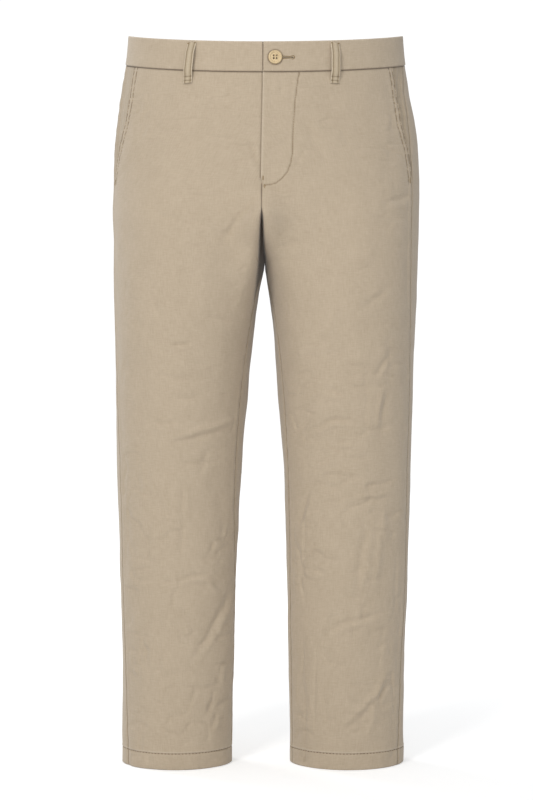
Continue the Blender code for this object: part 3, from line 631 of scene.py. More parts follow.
FORK_COLUMNS = ("height", "right_edge", "left_edge", "right_full", "left_full")
FORK = (
    (-205, -3.9, -7.6, 0, 0), (-228, -4.1, -7.3, 17, 17), (-242, -6.0, -5.2, 28, 27),
    (-268, -7.8, -3.9, 36, 33), (-295, -9.4, -0.6, 36, 23), (-319, -12.1, 1.6, 28, 9),
    (-345, -15.6, 3.6, 16, 0), (-400, -21.5, 9.5, 0, 0),
)
fork_edge = curves(FORK, FORK_COLUMNS, SIDES, ("right_edge", "left_edge"))
fork_full = curves(FORK, FORK_COLUMNS, SIDES, ("right_full", "left_full"))


def fork_fullness(points, side):
    """How far the cloth stands forward beside the fork, before it turns sharply in."""
    beside = side * (points[..., 0] - fork_edge[side](points[..., 2]))
    front = fade(points[..., 1], -6, -22)
    return (front * fork_full[side](points[..., 2]) * fade(beside, 0.0, 1.8)
            * near(np.maximum(beside, 0.0), 25.0))


def front_layout(side):
    """Levels and columns of a front panel, from the pocket's mouth or side seam to the middle."""
    levels = panel_levels(*LEVEL_STEPS[FRONT])
    start = side_seam[side](levels) + pocket_mouth[side](levels)
    end = np.where(levels > CROTCH, centre_angle(side, FRONT, levels), 180 - inseam[side](levels))
    pull = fade(levels, *FORK_PULL[FRONT]) * (levels > CROTCH)
    lap = SEAM_LAP + FORK_LAP * pull + in_fly(levels) * (FLY_LAP if side == LEFT else FLY_TUCK)
    end = end + turn_for(side, levels, end, lap)
    inner = (FLY_EDGE, 48) if side == LEFT else (EDGE, 73)
    return levels, *lay_out(side, levels, start, end, MOUTH_EDGE, *inner)


def back_layout(side):
    """Levels and columns of a back panel, from the side seam to the centre back or inseam."""
    levels = panel_levels(*LEVEL_STEPS[BACK])
    start = side_seam[side](levels)
    start = start + turn_for(side, levels, start, SEAM_LAP)
    end = np.where(levels > CROTCH, -centre_angle(side, BACK, levels),
                   -180 - inseam[side](levels))
    lap = (SEAM_LAP + FORK_LAP * fade(levels, *FORK_PULL[BACK])) * (levels > CROTCH)
    end = end - turn_for(side, levels, end, lap)
    return levels, *lay_out(side, levels, start, end, EDGE, EDGE, 82)


def front_relief(side, rows, points, from_start, to_end):
    """Pocket mouth, side seam, fly and fork of a front panel."""
    pocket, fly, seed = in_pocket(rows), in_fly(rows), 100 + 10 * side
    mouth = 0.25 * fade(from_start, 14.0, 9.0)
    for row, stitch_seed in zip(MOUTH_ROWS, (31, 35)):
        mouth = mouth + topstitch_relief(from_start - row, rows, stitch_seed + side, 1.35)
    for level, reach, lift in MOUTH_GAPES[side]:
        mouth = mouth + lift * near(points[..., 2] - level, reach) * near(from_start, 4.0)
    relief = pocket * mouth + (1 - pocket) * seam_relief(from_start, rows, seed)
    walls = fade(rows, *FORK_WALL[FRONT]) * (rows > CROTCH - 3)
    relief += (1 - fly) * (1 - 0.9 * walls) * seam_relief(to_end, rows, seed + 3)
    if side == LEFT:
        distance, along = on_line(points, J_STITCH)
        return (relief + fly * (0.9 * fade(to_end, 16, 4) + 0.2 * near(to_end - 1.6, 1.4))
                + (topstitch_relief(distance, along, 41)
                   + 0.4 * near(distance - 2.3, 1.3)) * fade(rows, -212, -204))
    lapped = to_end - FLY_TUCK * fly
    return relief - fly * (1.5 * fade(lapped, 3.2, 0) + 0.7 * near(lapped - 0.6, 1.2))


def back_relief(side, rows, from_start, to_end):
    """Side seam, centre back seam and inseam of a back panel."""
    seed = 100 + 10 * side
    walls = fade(rows, *FORK_WALL[BACK]) * (rows > CROTCH - 3)
    return (seam_relief(from_start, rows, seed)
            + (1 - 0.9 * walls) * seam_relief(to_end, rows, seed + 6))


def panel(side, face):
    """One leg panel's fine grid of points on its outer face, with all its relief."""
    levels, angles, from_start, to_end = (front_layout if face == FRONT else back_layout)(side)
    rows = levels[:, None]
    points, normals = ring_point(side, rows, angles), outward(side, rows, angles)
    calm = (1 - 0.9 * near(from_start, 7.0)) * (1 - 0.9 * near(to_end, 7.0)) * held_smooth(rows)
    place = points[..., 0] + points[..., 1]
    relief = (calm * drape(points, normals, side)
              + hem_relief(rows, place, 21) + top_relief(rows, place, 25))
    if face == FRONT:
        relief += front_relief(side, rows, points, from_start, to_end)
    else:
        relief += back_relief(side, rows, from_start, to_end)
    points = points + normals * relief[..., None]
    if face == FRONT:
        points[..., 1] -= fork_fullness(points, side)
    return Panel(side, levels, angles, from_start, to_end, points, normals)


# ---- meshes ----------------------------------------------------------------------------------

def grid_faces(rows, columns, closed=False):
    """Faces of a grid of points; a closed grid joins its last column to its first."""
    i, j = np.meshgrid(np.arange(rows - 1), np.arange(columns if closed else columns - 1),
                       indexing="ij")
    k = (j + 1) % columns
    return np.stack([i * columns + j, i * columns + k, (i + 1) * columns + k,
                     (i + 1) * columns + j], axis=-1).reshape(-1, 4)


def shell_faces(rows, columns, closed=False, missing=None):
    """Faces of a wall between two grids of the same size, closed along every open edge."""
    skin = grid_faces(rows, columns, closed)
    if missing is not None:
        skin = skin[~missing.reshape(-1)]
    count = rows * columns
    edges = np.concatenate([skin[:, [k, (k + 1) % 4]] for k in range(4)])
    keys, reverse = edges[:, 0] * count + edges[:, 1], edges[:, 1] * count + edges[:, 0]
    rim = edges[~np.isin(keys, reverse)]
    rim = np.stack([rim[:, 1], rim[:, 0], rim[:, 0] + count, rim[:, 1] + count], axis=-1)
    return np.concatenate([skin, skin[:, ::-1] + count, rim])


def mesh_piece(name, points, faces, marks=None):
    """A named piece of the object from points in mm, with its marks kept on its points."""
    mesh = bpy.data.meshes.new(name)
    mesh.from_pydata((points.reshape(-1, 3) * MM).tolist(), [], faces)
    mesh.update()
    for mark, values in (marks or {}).items():
        vector = values.shape[-1] == 3
        kept = mesh.attributes.new(mark, "FLOAT_VECTOR" if vector else "FLOAT", "POINT")
        kept.data.foreach_set("vector" if vector else "value",
                              np.ascontiguousarray(values, dtype=np.float32).reshape(-1))
    mesh.shade_smooth()
    piece = bpy.data.objects.new(name, mesh)
    bpy.context.scene.collection.objects.link(piece)
    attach(piece, "root")
    return piece


def cloth_piece(name, slot, outer, inner, marks, closed=False, missing=None):
    """A wall of cloth between its outer and inner face, in the place of its plain solid."""
    rows, columns = outer.shape[:2]
    faces = shell_faces(rows, columns, closed, missing)
    i, j = rows // 2, columns // 2
    facing = np.cross(outer[i, j + 1] - outer[i, j], outer[i + 1, j] - outer[i, j])
    if facing @ (outer[i, j] - inner[i, j]) < 0:
        faces = faces[:, ::-1]
    both = {mark: np.concatenate([values.reshape(rows * columns, -1)] * 2)
            for mark, values in marks.items()}
    points = np.concatenate([outer.reshape(-1, 3), inner.reshape(-1, 3)])
    piece = mesh_piece(name + "_cloth", points, faces.tolist(), both)
    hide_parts(name)
    return piece


# Where across the cloth the backs, the band and each further belt loop are cut, in mm.
BACK_PLACE, BAND_PLACE, LOOP_PLACE = 300, 700, 40


def weave_marks(across_mm, up_mm, seam, wear):
    """Where each point lies in the cloth, how much painted shade darkens it at seams, stitches and
    hollows, and how much it is paled, partly as worn and partly as painted highlight.
    """
    across_mm, up_mm, seam, wear = np.broadcast_arrays(across_mm, up_mm, seam, wear)
    return {"cloth_mm": np.stack([across_mm, up_mm, np.zeros(up_mm.shape)], axis=-1),
            "seam": seam[..., None], "wear": wear[..., None]}


def front_marks(side, rows, cut):
    """Painted shade along the seams and stitches, in the fork and beside the fly of a front panel,
    and paler marks at the left fly's edge, partly worn and partly painted highlight.
    """
    points, pocket, fly = cut.points, in_pocket(rows), in_fly(rows)
    # Painted shade in the grooves of the outer and inner seams, uneven along them and full near the
    # fork.
    side_tone = 0.55 + 0.3 * uneven(points, (9, 9, 31), 27)
    seam = (near(cut.from_start, 1.2) * (1 - pocket) + near(cut.to_end, 1.2) * (1 - fly)) * (
        side_tone + (1 - side_tone) * fade(rows, -300, -240))
    # Painted shade in dashes where the pocket's two stitch rows pull in, and along its mouth's
    # edge.
    for row, seed in zip(MOUTH_ROWS, (33, 37)):
        pulled = fade(wave(rows, 2.7, seed + side), -0.45, 0.1)
        seam += pocket * pulled * near(cut.from_start - row, 1.0)
    seam += 0.3 * pocket * near(cut.from_start, 0.5)
    # Painted shade in the fork, on the cloth that turns in between the legs.
    deep = fade(points[..., 2], -226, -246) * fade(points[..., 2], -430, -300)
    beside = side * (points[..., 0] - fork_edge[side](points[..., 2]))
    seam += 1.35 * deep * fade(beside, 1.2, -0.4)
    if side == LEFT:
        # Painted shade along the J-shaped stitch row; along the fly's folded edge the cloth is
        # paler, partly worn and partly painted highlight.
        seam += 0.65 * near(on_line(points, J_STITCH)[0], 0.7)
        return seam, 0.35 * fly * near(cut.to_end - 1.2, 1.4)
    # Painted shadow beside the edge of the left front, where it laps over the right front.
    return seam + 0.8 * fly * near(cut.to_end - FLY_TUCK * fly - 0.6, 1.1), 0.0


def leg_panel(side, face):
    """A front or back panel as cloth, with painted shade along its seams, its stitches, under the
    waistband and along the hem's edge, and paler where worn and where a highlight is painted.
    """
    cut = panel(side, face)
    rows = cut.levels[:, None]
    edge = np.minimum(np.minimum(cut.from_start, cut.to_end), PANEL_TOP - rows)
    outer = cut.points - cut.normals * rolled_edge(edge, CLOTH / 2)[..., None]
    thick = CLOTH - rolled_edge(edge, CLOTH / 2) - rolled_edge(rows - HEM_EDGE, HEM_ROUND)
    inner = cut.points - cut.normals * thick[..., None]
    if face == FRONT:
        seam, wear = front_marks(side, rows, cut)
    else:
        # Painted shade in the grooves of the back's seams.
        seam, wear = 0.8 * (near(cut.from_start, 1.2) + near(cut.to_end, 1.2)), 0.0
    # Painted shade under the waistband's edge and in the hem's stitch row, and a painted contact
    # shadow along the hem's lower edge.
    seam = np.clip(seam + near(rows - WAIST_SEAM, 1.3) + 0.2 * near(rows - HEM_STITCH, 0.8)
                   + 0.5 * near(rows - HEM_EDGE, 0.5), 0, 1.35)
    # A paler line on the ridge above the hem's stitches, partly worn and partly painted highlight.
    wear = np.clip(wear + 0.5 * near(rows - HEM_STITCH - 2.0, 0.9), 0, 1)
    name = ("front_panel_" if face == FRONT else "back_panel_") + SIDE_NAMES[side]
    marks = weave_marks(cut.from_start + BACK_PLACE * (face == BACK), rows, seam, wear)
    return cloth_piece(name, "cloth_shell", outer, inner, marks), cut


def pocket_facing(side):
    """The layer that shows in the pocket's mouth, from the side seam to under the front."""
    levels = fine_levels((TOP_MARKS,), PANEL_TOP, POCKET_END + 1.5, 2.0)
    start = side_seam[side](levels)
    mouth = pocket_mouth[side](levels)
    share = np.array([0, 0.006, 0.02, 0.05, 0.09] + list(np.linspace(0.14, 1, 26)))
    angles = start[:, None] + (mouth + 8.0)[:, None] * share
    rows = levels[:, None]
    points, normals = ring_point(side, rows, angles), outward(side, rows, angles)
    run = run_along(points)
    mouth_run = np.array([np.interp(a + m, turns, r) for a, m, turns, r
                          in zip(start, mouth, angles, run)])[:, None]
    under = fade(run - mouth_run, 3, 11)
    relief = (1 - 0.9 * near(run, 7.0)) * held_smooth(rows) * drape(points, normals, side)
    relief -= LAYER * fade(run, 0, 9)
    relief += seam_relief(run, rows, 100 + 10 * side)
    relief += top_relief(rows, points[..., 0] + points[..., 1], 25) * fade(run, 14, 5)
    relief += 0.3 * wave(run + 0.03 * rows, 3.4, 51 + side) * fade(run, 1, 5)
    relief -= (0.9 * fade(run, 8, 15) * fade(rows, WAIST_SEAM - 4, WAIST_SEAM - 20)
               * (1 - 1.15 * under))
    # Painted shade at the side seam and under the waistband, and over the strip that lies in the
    # shadow of the pocket's mouth.
    shade = near(run, 1.2) + near(rows - WAIST_SEAM, 1.3) + fade(run - mouth_run, -3.6, 0.4)
    edge = np.minimum(run, PANEL_TOP - rows)
    outer = points + normals * (relief - rolled_edge(edge, CLOTH / 2))[..., None]
    inner = points + normals * (relief - CLOTH + rolled_edge(edge, CLOTH / 2))[..., None]
    return cloth_piece("pocket_facing_" + SIDE_NAMES[side], "cloth_inside", outer, inner,
                       weave_marks(run, rows, np.clip(shade, 0, 1), 0.0))


HEM_LEVELS = np.array([HEM_FOLD, HEM_FOLD - 0.06, HEM_FOLD - 0.2, HEM_FOLD - 0.6, -958.4, -960.5,
                       -963.5, -967, -970.5, -974, -976, HEM_EDGE + 1.4, HEM_EDGE + 0.8,
                       HEM_EDGE + 0.35, HEM_EDGE + 0.1, HEM_EDGE])
HEM_COLUMNS = 160


def hem(side):
    """The turned-up layer inside a leg opening."""
    angles = np.arange(HEM_COLUMNS) * (360 / HEM_COLUMNS) + np.zeros((len(HEM_LEVELS), 1))
    wrapped = (angles + 180) % 360 - 180
    rows = HEM_LEVELS[:, None]
    points, normals = ring_point(side, rows, wrapped), outward(side, rows, wrapped)
    run = run_along(points)
    sunk = LAYER + 0.1 * wave(run, 12.0, 61 + side) - 0.08 - 0.85 * near(rows - HEM_EDGE, 1.0)
    outer = points - normals * (sunk + rolled_edge(HEM_FOLD - rows, CLOTH / 2))[..., None]
    far = sunk + CLOTH - rolled_edge(HEM_FOLD - rows, CLOTH / 2)
    inner = points - normals * (far + 0.4 - rolled_edge(rows - HEM_EDGE, HEM_ROUND))[..., None]
    # Painted shade along the hem's row of stitches.
    return cloth_piece("hem_" + SIDE_NAMES[side], "cloth_inside", outer, inner,
                       weave_marks(run, rows, 0.5 * near(rows - HEM_STITCH, 1.0), 0.0),
                       closed=True)


FLY_WIDTH, FLY_UNDERLAP, FLY_END, FLY_BEND = 46.0, 14.0, -211.0, -150.0
FLY_DEPTH = CLOTH + 0.6
FLY_RIGHT_DEEPER = 0.8    # the placket lies deeper behind the right front


def fly_placket():
    """The layer inside the centre front that the J-shaped stitching holds."""
    levels = np.concatenate([np.arange(WAIST_SEAM - GAP / 2, FLY_BEND, -3.2),
                             FLY_BEND + (FLY_END + 0.8 - FLY_BEND)
                             * np.sin(np.linspace(0, np.pi / 2, 22))])
    heights = height_at(levels, FRONT, 1.0)
    drop = np.clip((FLY_BEND - heights) / (FLY_BEND - FLY_END), 0, 1)
    width = np.maximum(FLY_WIDTH * np.sqrt(1 - drop ** 2), 3.0)
    seam = centre_seam[FRONT](heights)
    share = np.linspace(0, 1, 26)
    left_x = seam[:, None] + 2.0 + (width - 2.0)[:, None] * share
    right_x = seam[:, None] - FLY_UNDERLAP + (FLY_UNDERLAP - 2.0) * np.linspace(0, 1, 6)
    grids, rows = [], levels[:, None]
    for depth in (FLY_DEPTH, FLY_DEPTH + CLOTH):
        halves = []
        for side, x in ((RIGHT, right_x), (LEFT, left_x)):
            angles = angle_at_x(side, FRONT, rows, x)
            spots, normals = ring_point(side, rows, angles), outward(side, rows, angles)
            relief = drape(spots, normals, side) * 0.8 * held_smooth(rows) - depth
            if side == RIGHT:
                relief -= FLY_RIGHT_DEEPER
            halves.append(spots + normals * relief[..., None])
        grids.append(np.concatenate(halves, axis=1))
    marks = weave_marks(grids[0][..., 0], grids[0][..., 2], 0.0, 0.0)
    return cloth_piece("fly_placket", "cloth_inside", *grids, marks)


# ---- waistband -------------------------------------------------------------------------------

UNDERLAP_LENGTH, UNDERLAP_RAMP, UNDERLAP_TURN = 44.0, 2.1, 0.3
UNDERLAP_CLEAR = 0.6
BUTTON_LEVEL, BUTTONHOLE_DROP, BUTTON_X = -0.4, 0.3, 12.1
BUTTON_SHADE = 9.5        # radius of the line of shade round the button
BAND_BOTTOM = WAIST_SEAM + GAP / 2
BAND_EDGE = [0.0, 0.1, 0.35, 0.75, 1.3, 2.0]
SLIT_LEVEL = BUTTON_LEVEL - BUTTONHOLE_DROP
SLIT_START, SLIT_END = 10.0, 36.5
SLIT_ROW = 0.35           # half the space between the two rows that the slit opens
SLIT_MARKS = (SLIT_LEVEL, (SLIT_ROW, 0.7, 1.1, 1.6, 2.2, 3.0))
SLIT_COLUMNS = ("x", "half_height")
SLIT = ((10.0, 0.15), (11.0, 0.5), (22.0, 0.6), (27.0, 0.4), (31.0, 0.2), (33.4, 0.25),
        (34.2, 0.9), (35.2, 1.15), (36.1, 0.8), (36.5, 0.12))
slit_half_height = smooth_curve(SLIT, SLIT_COLUMNS, "half_height")


def band_relief(rows, run_to_front, seed):
    """The band lies smooth, a little thicker along both edges, most of all at its seam."""
    down = WAIST_TOP - rows
    up = rows - BAND_BOTTOM
    return (0.45 + 0.25 * near(up - 3.0, 4.0) + 0.15 * near(down - 2.0, 4.0)
            + 0.1 * wave(run_to_front, 34.0, seed) + 0.05 * wave(run_to_front, 9.0, seed + 1)
            * near(up, 6.0))


def band_layout(side):
    """Levels and columns of half of the waistband, from the centre back to its front end."""
    marks = [(WAIST_TOP, BAND_EDGE + [3.0]), (BAND_BOTTOM, BAND_EDGE + [3.0])]
    if side == LEFT:
        marks.append(SLIT_MARKS)
    levels = fine_levels(marks, WAIST_TOP, BAND_BOTTOM, 1.7)
    seam = centre_seam[FRONT](height_at(levels, FRONT, 1.0))
    if side == LEFT:
        end = angle_at_x(LEFT, FRONT, levels, seam - 0.4)
        front_end = BAND_EDGE + list(np.arange(3, 46, 0.8))
    else:
        end = angle_at_x(RIGHT, FRONT, levels, seam + UNDERLAP_LENGTH)
        front_end = BAND_EDGE + list(np.arange(5, 38, 3.0)) + list(np.arange(39, 58, 0.8))
    start = -centre_angle(side, BACK, levels)
    return levels, *lay_out(side, levels, start, end, BAND_EDGE + [3.2], front_end, 120)


def open_slit(rows, x, front):
    """The rows bent apart along the buttonhole's lips, and the faces that its slit leaves out."""
    in_slit = front & (x > SLIT_START) & (x < SLIT_END)
    half = np.where(in_slit, slit_half_height(x), 0.3)
    offset = rows - SLIT_LEVEL
    top, low = np.sort(np.argsort(np.abs(offset[:, 0]))[:2])
    missing = np.zeros((rows.shape[0] - 1, rows.shape[1] - 1), dtype=bool)
    missing[top:low] = in_slit[top, :-1] & in_slit[top, 1:]
    near_slit = fade(np.abs(offset), 4.0, 0.4) * front * near(np.maximum(x - 36, 0), 3)
    return rows + np.sign(offset) * (half - SLIT_ROW) * near_slit, missing


def waistband(side):
    """Half of the waistband, from the centre back round to the centre front."""
    levels, angles, from_back, to_front = band_layout(side)
    rows, missing = levels[:, None] + np.zeros(angles.shape), None
    x = ring_point(side, rows, angles)[..., 0]
    front = np.sin(np.radians(angles)) > 0.5
    if side == LEFT:
        rows, missing = open_slit(rows, x, front)
    points, normals = ring_point(side, rows, angles), outward(side, rows, angles)
    relief = band_relief(rows, to_front, 71 + side) + BAND_PROUD - 0.5 * near(from_back, 1.2)
    # Painted shade along the band's lower seam and its centre back seam.
    seam = 0.8 * near(rows - BAND_BOTTOM, 1.0) + 0.8 * near(from_back, 0.8)
    if side == LEFT:
        lips = front * near(rows - SLIT_LEVEL, 1.6) * fade(x, 9, 12) * fade(x, 39, 36.5)
        from_button = np.where(front, np.hypot(x - BUTTON_X, rows - BUTTON_LEVEL), 99.0)
        relief += 0.25 * lips + 0.25 * fade(to_front, 12, 2) - 0.45 * near(from_button, 8.5)
        # Painted shade in a ring round the button's rim.
        seam += near(from_button - BUTTON_SHADE, 1.0)
    else:
        past = np.where(front, x - centre_seam[FRONT](height_at(rows, FRONT, 1.0)), -99.0)
        relief -= (BAND_WALL + UNDERLAP_CLEAR + 0.25) * fade(past, -UNDERLAP_RAMP, -UNDERLAP_TURN)
    edge = np.minimum(np.minimum(from_back, to_front),
                      np.minimum(WAIST_TOP - rows, rows - BAND_BOTTOM))
    roll = rolled_edge(np.maximum(edge, 0), BAND_WALL / 2)
    outer = points + normals * (relief - roll)[..., None]
    inner = points + normals * (relief - 0.6 - BAND_WALL + roll)[..., None]
    marks = weave_marks(to_front + BAND_PLACE, rows, np.clip(seam, 0, 1),
                        0.7 * near(WAIST_TOP - rows, 1.5))
    piece = cloth_piece("waistband_" + SIDE_NAMES[side], "cloth_shell", outer, inner, marks,
                        missing=missing)
    return piece, Panel(side, levels, angles, from_back, to_front, outer, normals)


# ---- belt loops ------------------------------------------------------------------------------

BeltLoop = namedtuple("BeltLoop", "name side face top_x bottom_x")
BELT_LOOPS = (
    BeltLoop("belt_loop_front_left", LEFT, FRONT, 90.6, 90.4),
    BeltLoop("belt_loop_front_right", RIGHT, FRONT, 97.2, 103.0),
    BeltLoop("belt_loop_back_left", LEFT, BACK, 112.0, 113.0),
    BeltLoop("belt_loop_back_right", RIGHT, BACK, 112.0, 113.0),
    BeltLoop("belt_loop_back_centre", LEFT, BACK, 0.0, 0.0),
)
LOOP_WIDTH, LOOP_WALL, LOOP_TOP, LOOP_LENGTH = 12.2, 1.6, 17.5, 55.0
LOOP_TAB_TOP, LOOP_TAB_BOTTOM, LOOP_RISE = 2.0, 4.5, 14.0
LOOP_CLEAR, LOOP_SEAT, LOOP_BAND_REACH = 4.4, 0.5, 8.0
LOOP_ROWS = (-3.9, 3.9)    # places of its two lengthwise stitch rows
LOOP_TACKS = (45.3, 51.3)  # places of the two rows across its lower end
LOOP_FOLD = 48.3           # place of the fold that stands up between them
LoopFace = namedtuple("LoopFace", "along offsets points normals")


def loop_lift(along):
    """Clearance under the loop at a place along it: sewn down at both ends."""
    upper = np.clip((along - LOOP_TAB_TOP) / LOOP_RISE, 0, 1)
    lower = np.clip((LOOP_LENGTH - LOOP_TAB_BOTTOM - along) / LOOP_RISE, 0, 1)
    share = fade(np.minimum(upper, lower), 0.0, 1.0)
    return LOOP_SEAT + share * (LOOP_CLEAR - LOOP_SEAT)


def loop_line(loop, along):
    """Points under the loop, its outward, crosswise and lengthwise directions."""
    level = LOOP_TOP - along
    x = loop.side * (loop.top_x + (loop.bottom_x - loop.top_x) * along / LOOP_LENGTH)
    angle = angle_at_x(loop.side, loop.face, level, x)
    normal = outward(loop.side, level, angle)
    flat = unit(normal * (1, 1, 0))
    proud = BAND_PROUD + 0.3 * fade(level, WAIST_SEAM - LOOP_BAND_REACH, WAIST_SEAM - 4)
    base = ring_point(loop.side, level, angle, -proud) + flat * loop_lift(along)[:, None]
    length = unit(np.gradient(base, axis=0))
    crosswise = np.stack([-flat[:, 1], flat[:, 0], np.zeros(len(flat))], axis=-1)
    return base, flat, crosswise, length


def belt_loop(loop):
    """A folded strip with rounded edges, two stitch rows and a raised middle."""
    along = np.concatenate([[0, 0.1, 0.3, 0.7, 1.2], np.linspace(2, LOOP_LENGTH - 2, 74),
                            LOOP_LENGTH - np.array([1.2, 0.7, 0.3, 0.1, 0])])
    base, flat, crosswise, length = loop_line(loop, along)
    facing = unit(np.cross(crosswise, length))
    facing *= np.sign((facing * flat).sum(axis=1))[:, None]
    half = LOOP_WIDTH / 2
    one_side = np.array([1.4, 2.6, 3.4, 3.9, 4.4, half - 1.1, half - 0.6, half - 0.25,
                         half - 0.06, half])
    offsets = np.concatenate([-one_side[::-1], [0], one_side])
    rows, columns = along[:, None], offsets[None, :]
    ends = np.minimum(rows, LOOP_LENGTH - rows)
    roll = np.maximum(rolled_edge(half - np.abs(columns), LOOP_WALL / 2),
                      rolled_edge(ends, LOOP_WALL / 2))
    seed = 81 + BELT_LOOPS.index(loop)
    relief = (0.3 * near(columns, 2.2) + 0.22 * wave(rows + 0.4 * columns, 5.0, seed)
              + 0.35 * near(rows - LOOP_FOLD, 1.4)
              - sum(0.3 * near(columns - place, 0.55) for place in LOOP_ROWS)
              - sum(0.4 * near(rows - place, 0.9) for place in LOOP_TACKS))
    under = base[:, None] + crosswise[:, None] * columns[..., None]
    outer = under + facing[:, None] * (LOOP_WALL + relief - roll)[..., None]
    inner = under + facing[:, None] * roll[..., None]
    # Painted shade along the stitch rows and across the tacks.
    seam = (sum(0.8 * near(columns - place, 0.7) for place in LOOP_ROWS)
            + sum(0.7 * near(rows - place, 0.8) for place in LOOP_TACKS))
    # Paler along both folded edges and the raised middle, partly worn and partly painted highlight.
    wear = 0.8 * near(half - np.abs(columns), 0.9) + 0.3 * near(columns, 1.5)
    marks = weave_marks(columns + LOOP_PLACE * seed, rows, np.clip(seam, 0, 1), wear)
    piece = cloth_piece(loop.name, "belt_loops", outer, inner, marks)
    return piece, LoopFace(along, offsets, outer, np.broadcast_to(facing[:, None], outer.shape))


# ---- stitches --------------------------------------------------------------------------------

THREAD = 0.6              # thickness of a sewing thread
FINE_THREAD = 0.5
LOOP_THREAD = 0.42
HEM_THREAD, HEM_PITCH, HEM_SPACE = 0.85, 4.6, 2.0   # coarser than real, so that its dashes show
EYELET_X = 35.3           # middle of the buttonhole's round end
FLY_TACKS = ((-3.0, -200.0, 6.5), (-4.6, -190.0, 5.0))   # place across, height, length


def blend_rows(grid, position, columns):
    """Values of a grid at whole and part rows and columns."""
    rows = np.clip(position, 0, grid.shape[0] - 1.001)
    columns = np.clip(columns, 0, grid.shape[1] - 1.001)
    i, j = rows.astype(int), columns.astype(int)
    s, t = (rows - i)[:, None], (columns - j)[:, None]
    return ((1 - s) * (1 - t) * grid[i, j] + (1 - s) * t * grid[i, j + 1]
            + s * (1 - t) * grid[i + 1, j] + s * t * grid[i + 1, j + 1])


def on_panel(cut, levels, angles):
    """Points and normals of a laid-out panel at given levels and angles."""
    rows = np.interp(-levels, -cut.levels, np.arange(len(cut.levels)))
    nearest = np.clip(rows.round().astype(int), 0, len(cut.levels) - 1)
    columns = np.array([column_of(cut.angles[i], angle) for i, angle in zip(nearest, angles)])
    return blend_rows(cut.points, rows, columns), blend_rows(cut.normals, rows, columns)


def column_of(angles, angle):
    """Part column at which a row of angles, rising or falling, reaches an angle."""
    if angles[0] > angles[-1]:
        return np.interp(-angle, -angles, np.arange(len(angles)))
    return np.interp(angle, angles, np.arange(len(angles)))


def row_at(cut, distance, high, low):
    """A line on a panel at an even distance from its first edge, between two levels."""
    points, normals = [], []
    for i, level in enumerate(cut.levels):
        if low <= level <= high:
            order = np.argsort(cut.from_start[i])
            place = np.interp(distance, cut.from_start[i][order], order.astype(float))
            j = int(min(place, cut.points.shape[1] - 2))
            t = place - j
            points.append(cut.points[i, j] * (1 - t) + cut.points[i, j + 1] * t)
            normals.append(cut.normals[i, j] * (1 - t) + cut.normals[i, j + 1] * t)
    return np.array(points), np.array(normals)


def seams_of(points, normals, pitch, gap, skip=0.0):
    """Ends and outward directions of the stitches along a line."""
    run = run_along(points)
    count = max(int((run[-1] - 2 * skip) / pitch), 1)
    middles = skip + (np.arange(count) + 0.5) * (run[-1] - 2 * skip) / count
    half = (pitch - gap) / 2

    def at(place, values):
        return np.stack([np.interp(place, run, values[:, k]) for k in range(3)], axis=-1)

    return at(middles - half, points), at(middles + half, points), unit(at(middles, normals))


def zigzag(middle, along, across_way, normal, length, width, count):
    """A bar tack: stitches side by side across a short bar."""
    places = np.linspace(-length / 2, length / 2, count)[:, None] * along
    lean = np.where(np.arange(count) % 2, 1, -1)[:, None] * along * length / count * 0.4
    return (middle + places - across_way * width / 2 - lean,
            middle + places + across_way * width / 2 + lean,
            np.tile(normal, (count, 1)))


THREAD_RINGS = ((0.0, 0.15, -0.5), (0.1, 0.75, -0.05), (0.32, 1.0, 0.3), (0.68, 1.0, 0.3),
                (0.9, 0.75, -0.05), (1.0, 0.15, -0.5))


def stitches(name, ends, material, thickness=THREAD, sides=6):
    """All the stitches of one seam or more, as one mesh of short rounded threads."""
    start, stop, normal = (np.concatenate([end[k] for end in ends]) for k in range(3))
    crosswise = unit(np.cross(stop - start, normal))
    turns = (np.arange(sides) * math.tau / sides)[None, :, None]
    rings = []
    for share, girth, lift in THREAD_RINGS:
        middle = start + (stop - start) * share + normal * lift * thickness
        radius = girth * thickness / 2
        rings.append(middle[:, None] + radius * (np.cos(turns) * crosswise[:, None]
                                                 + np.sin(turns) * normal[:, None]))
    points = np.stack(rings, axis=1)
    skin = grid_faces(len(rings), sides, closed=True)
    first, last = np.arange(sides)[::-1], (len(rings) - 1) * sides + np.arange(sides)
    faces = []
    for base in range(0, len(start) * len(rings) * sides, len(rings) * sides):
        faces += (skin + base).tolist() + [(first + base).tolist(), (last + base).tolist()]
    piece = mesh_piece(name, points, faces)
    work = bmesh.new()
    work.from_mesh(piece.data)
    bmesh.ops.recalc_face_normals(work, faces=work.faces)
    work.to_mesh(piece.data)
    work.free()
    piece.data.materials.append(material)
    return piece


def sew_pocket(side, cut, thread):
    """Two rows beside a pocket's mouth, and the bar tack at its lower end."""
    ends = []
    for k, distance in enumerate(MOUTH_ROWS):
        line = row_at(cut, distance, WAIST_SEAM - 3, POCKET_END + 6)
        ends.append(seams_of(*line, pitch=3.9 + 0.3 * k, gap=1.2))
    points, normals = row_at(cut, 5.0, POCKET_END + 12, POCKET_END + 4)
    middle, normal = points[len(points) // 2], normals[len(points) // 2]
    along = unit(points[-1] - points[0])
    ends.append(zigzag(middle, along, unit(np.cross(along, normal)), normal,
                       length=7, width=2.2, count=12))
    return stitches("pocket_stitches_" + SIDE_NAMES[side], ends, thread)


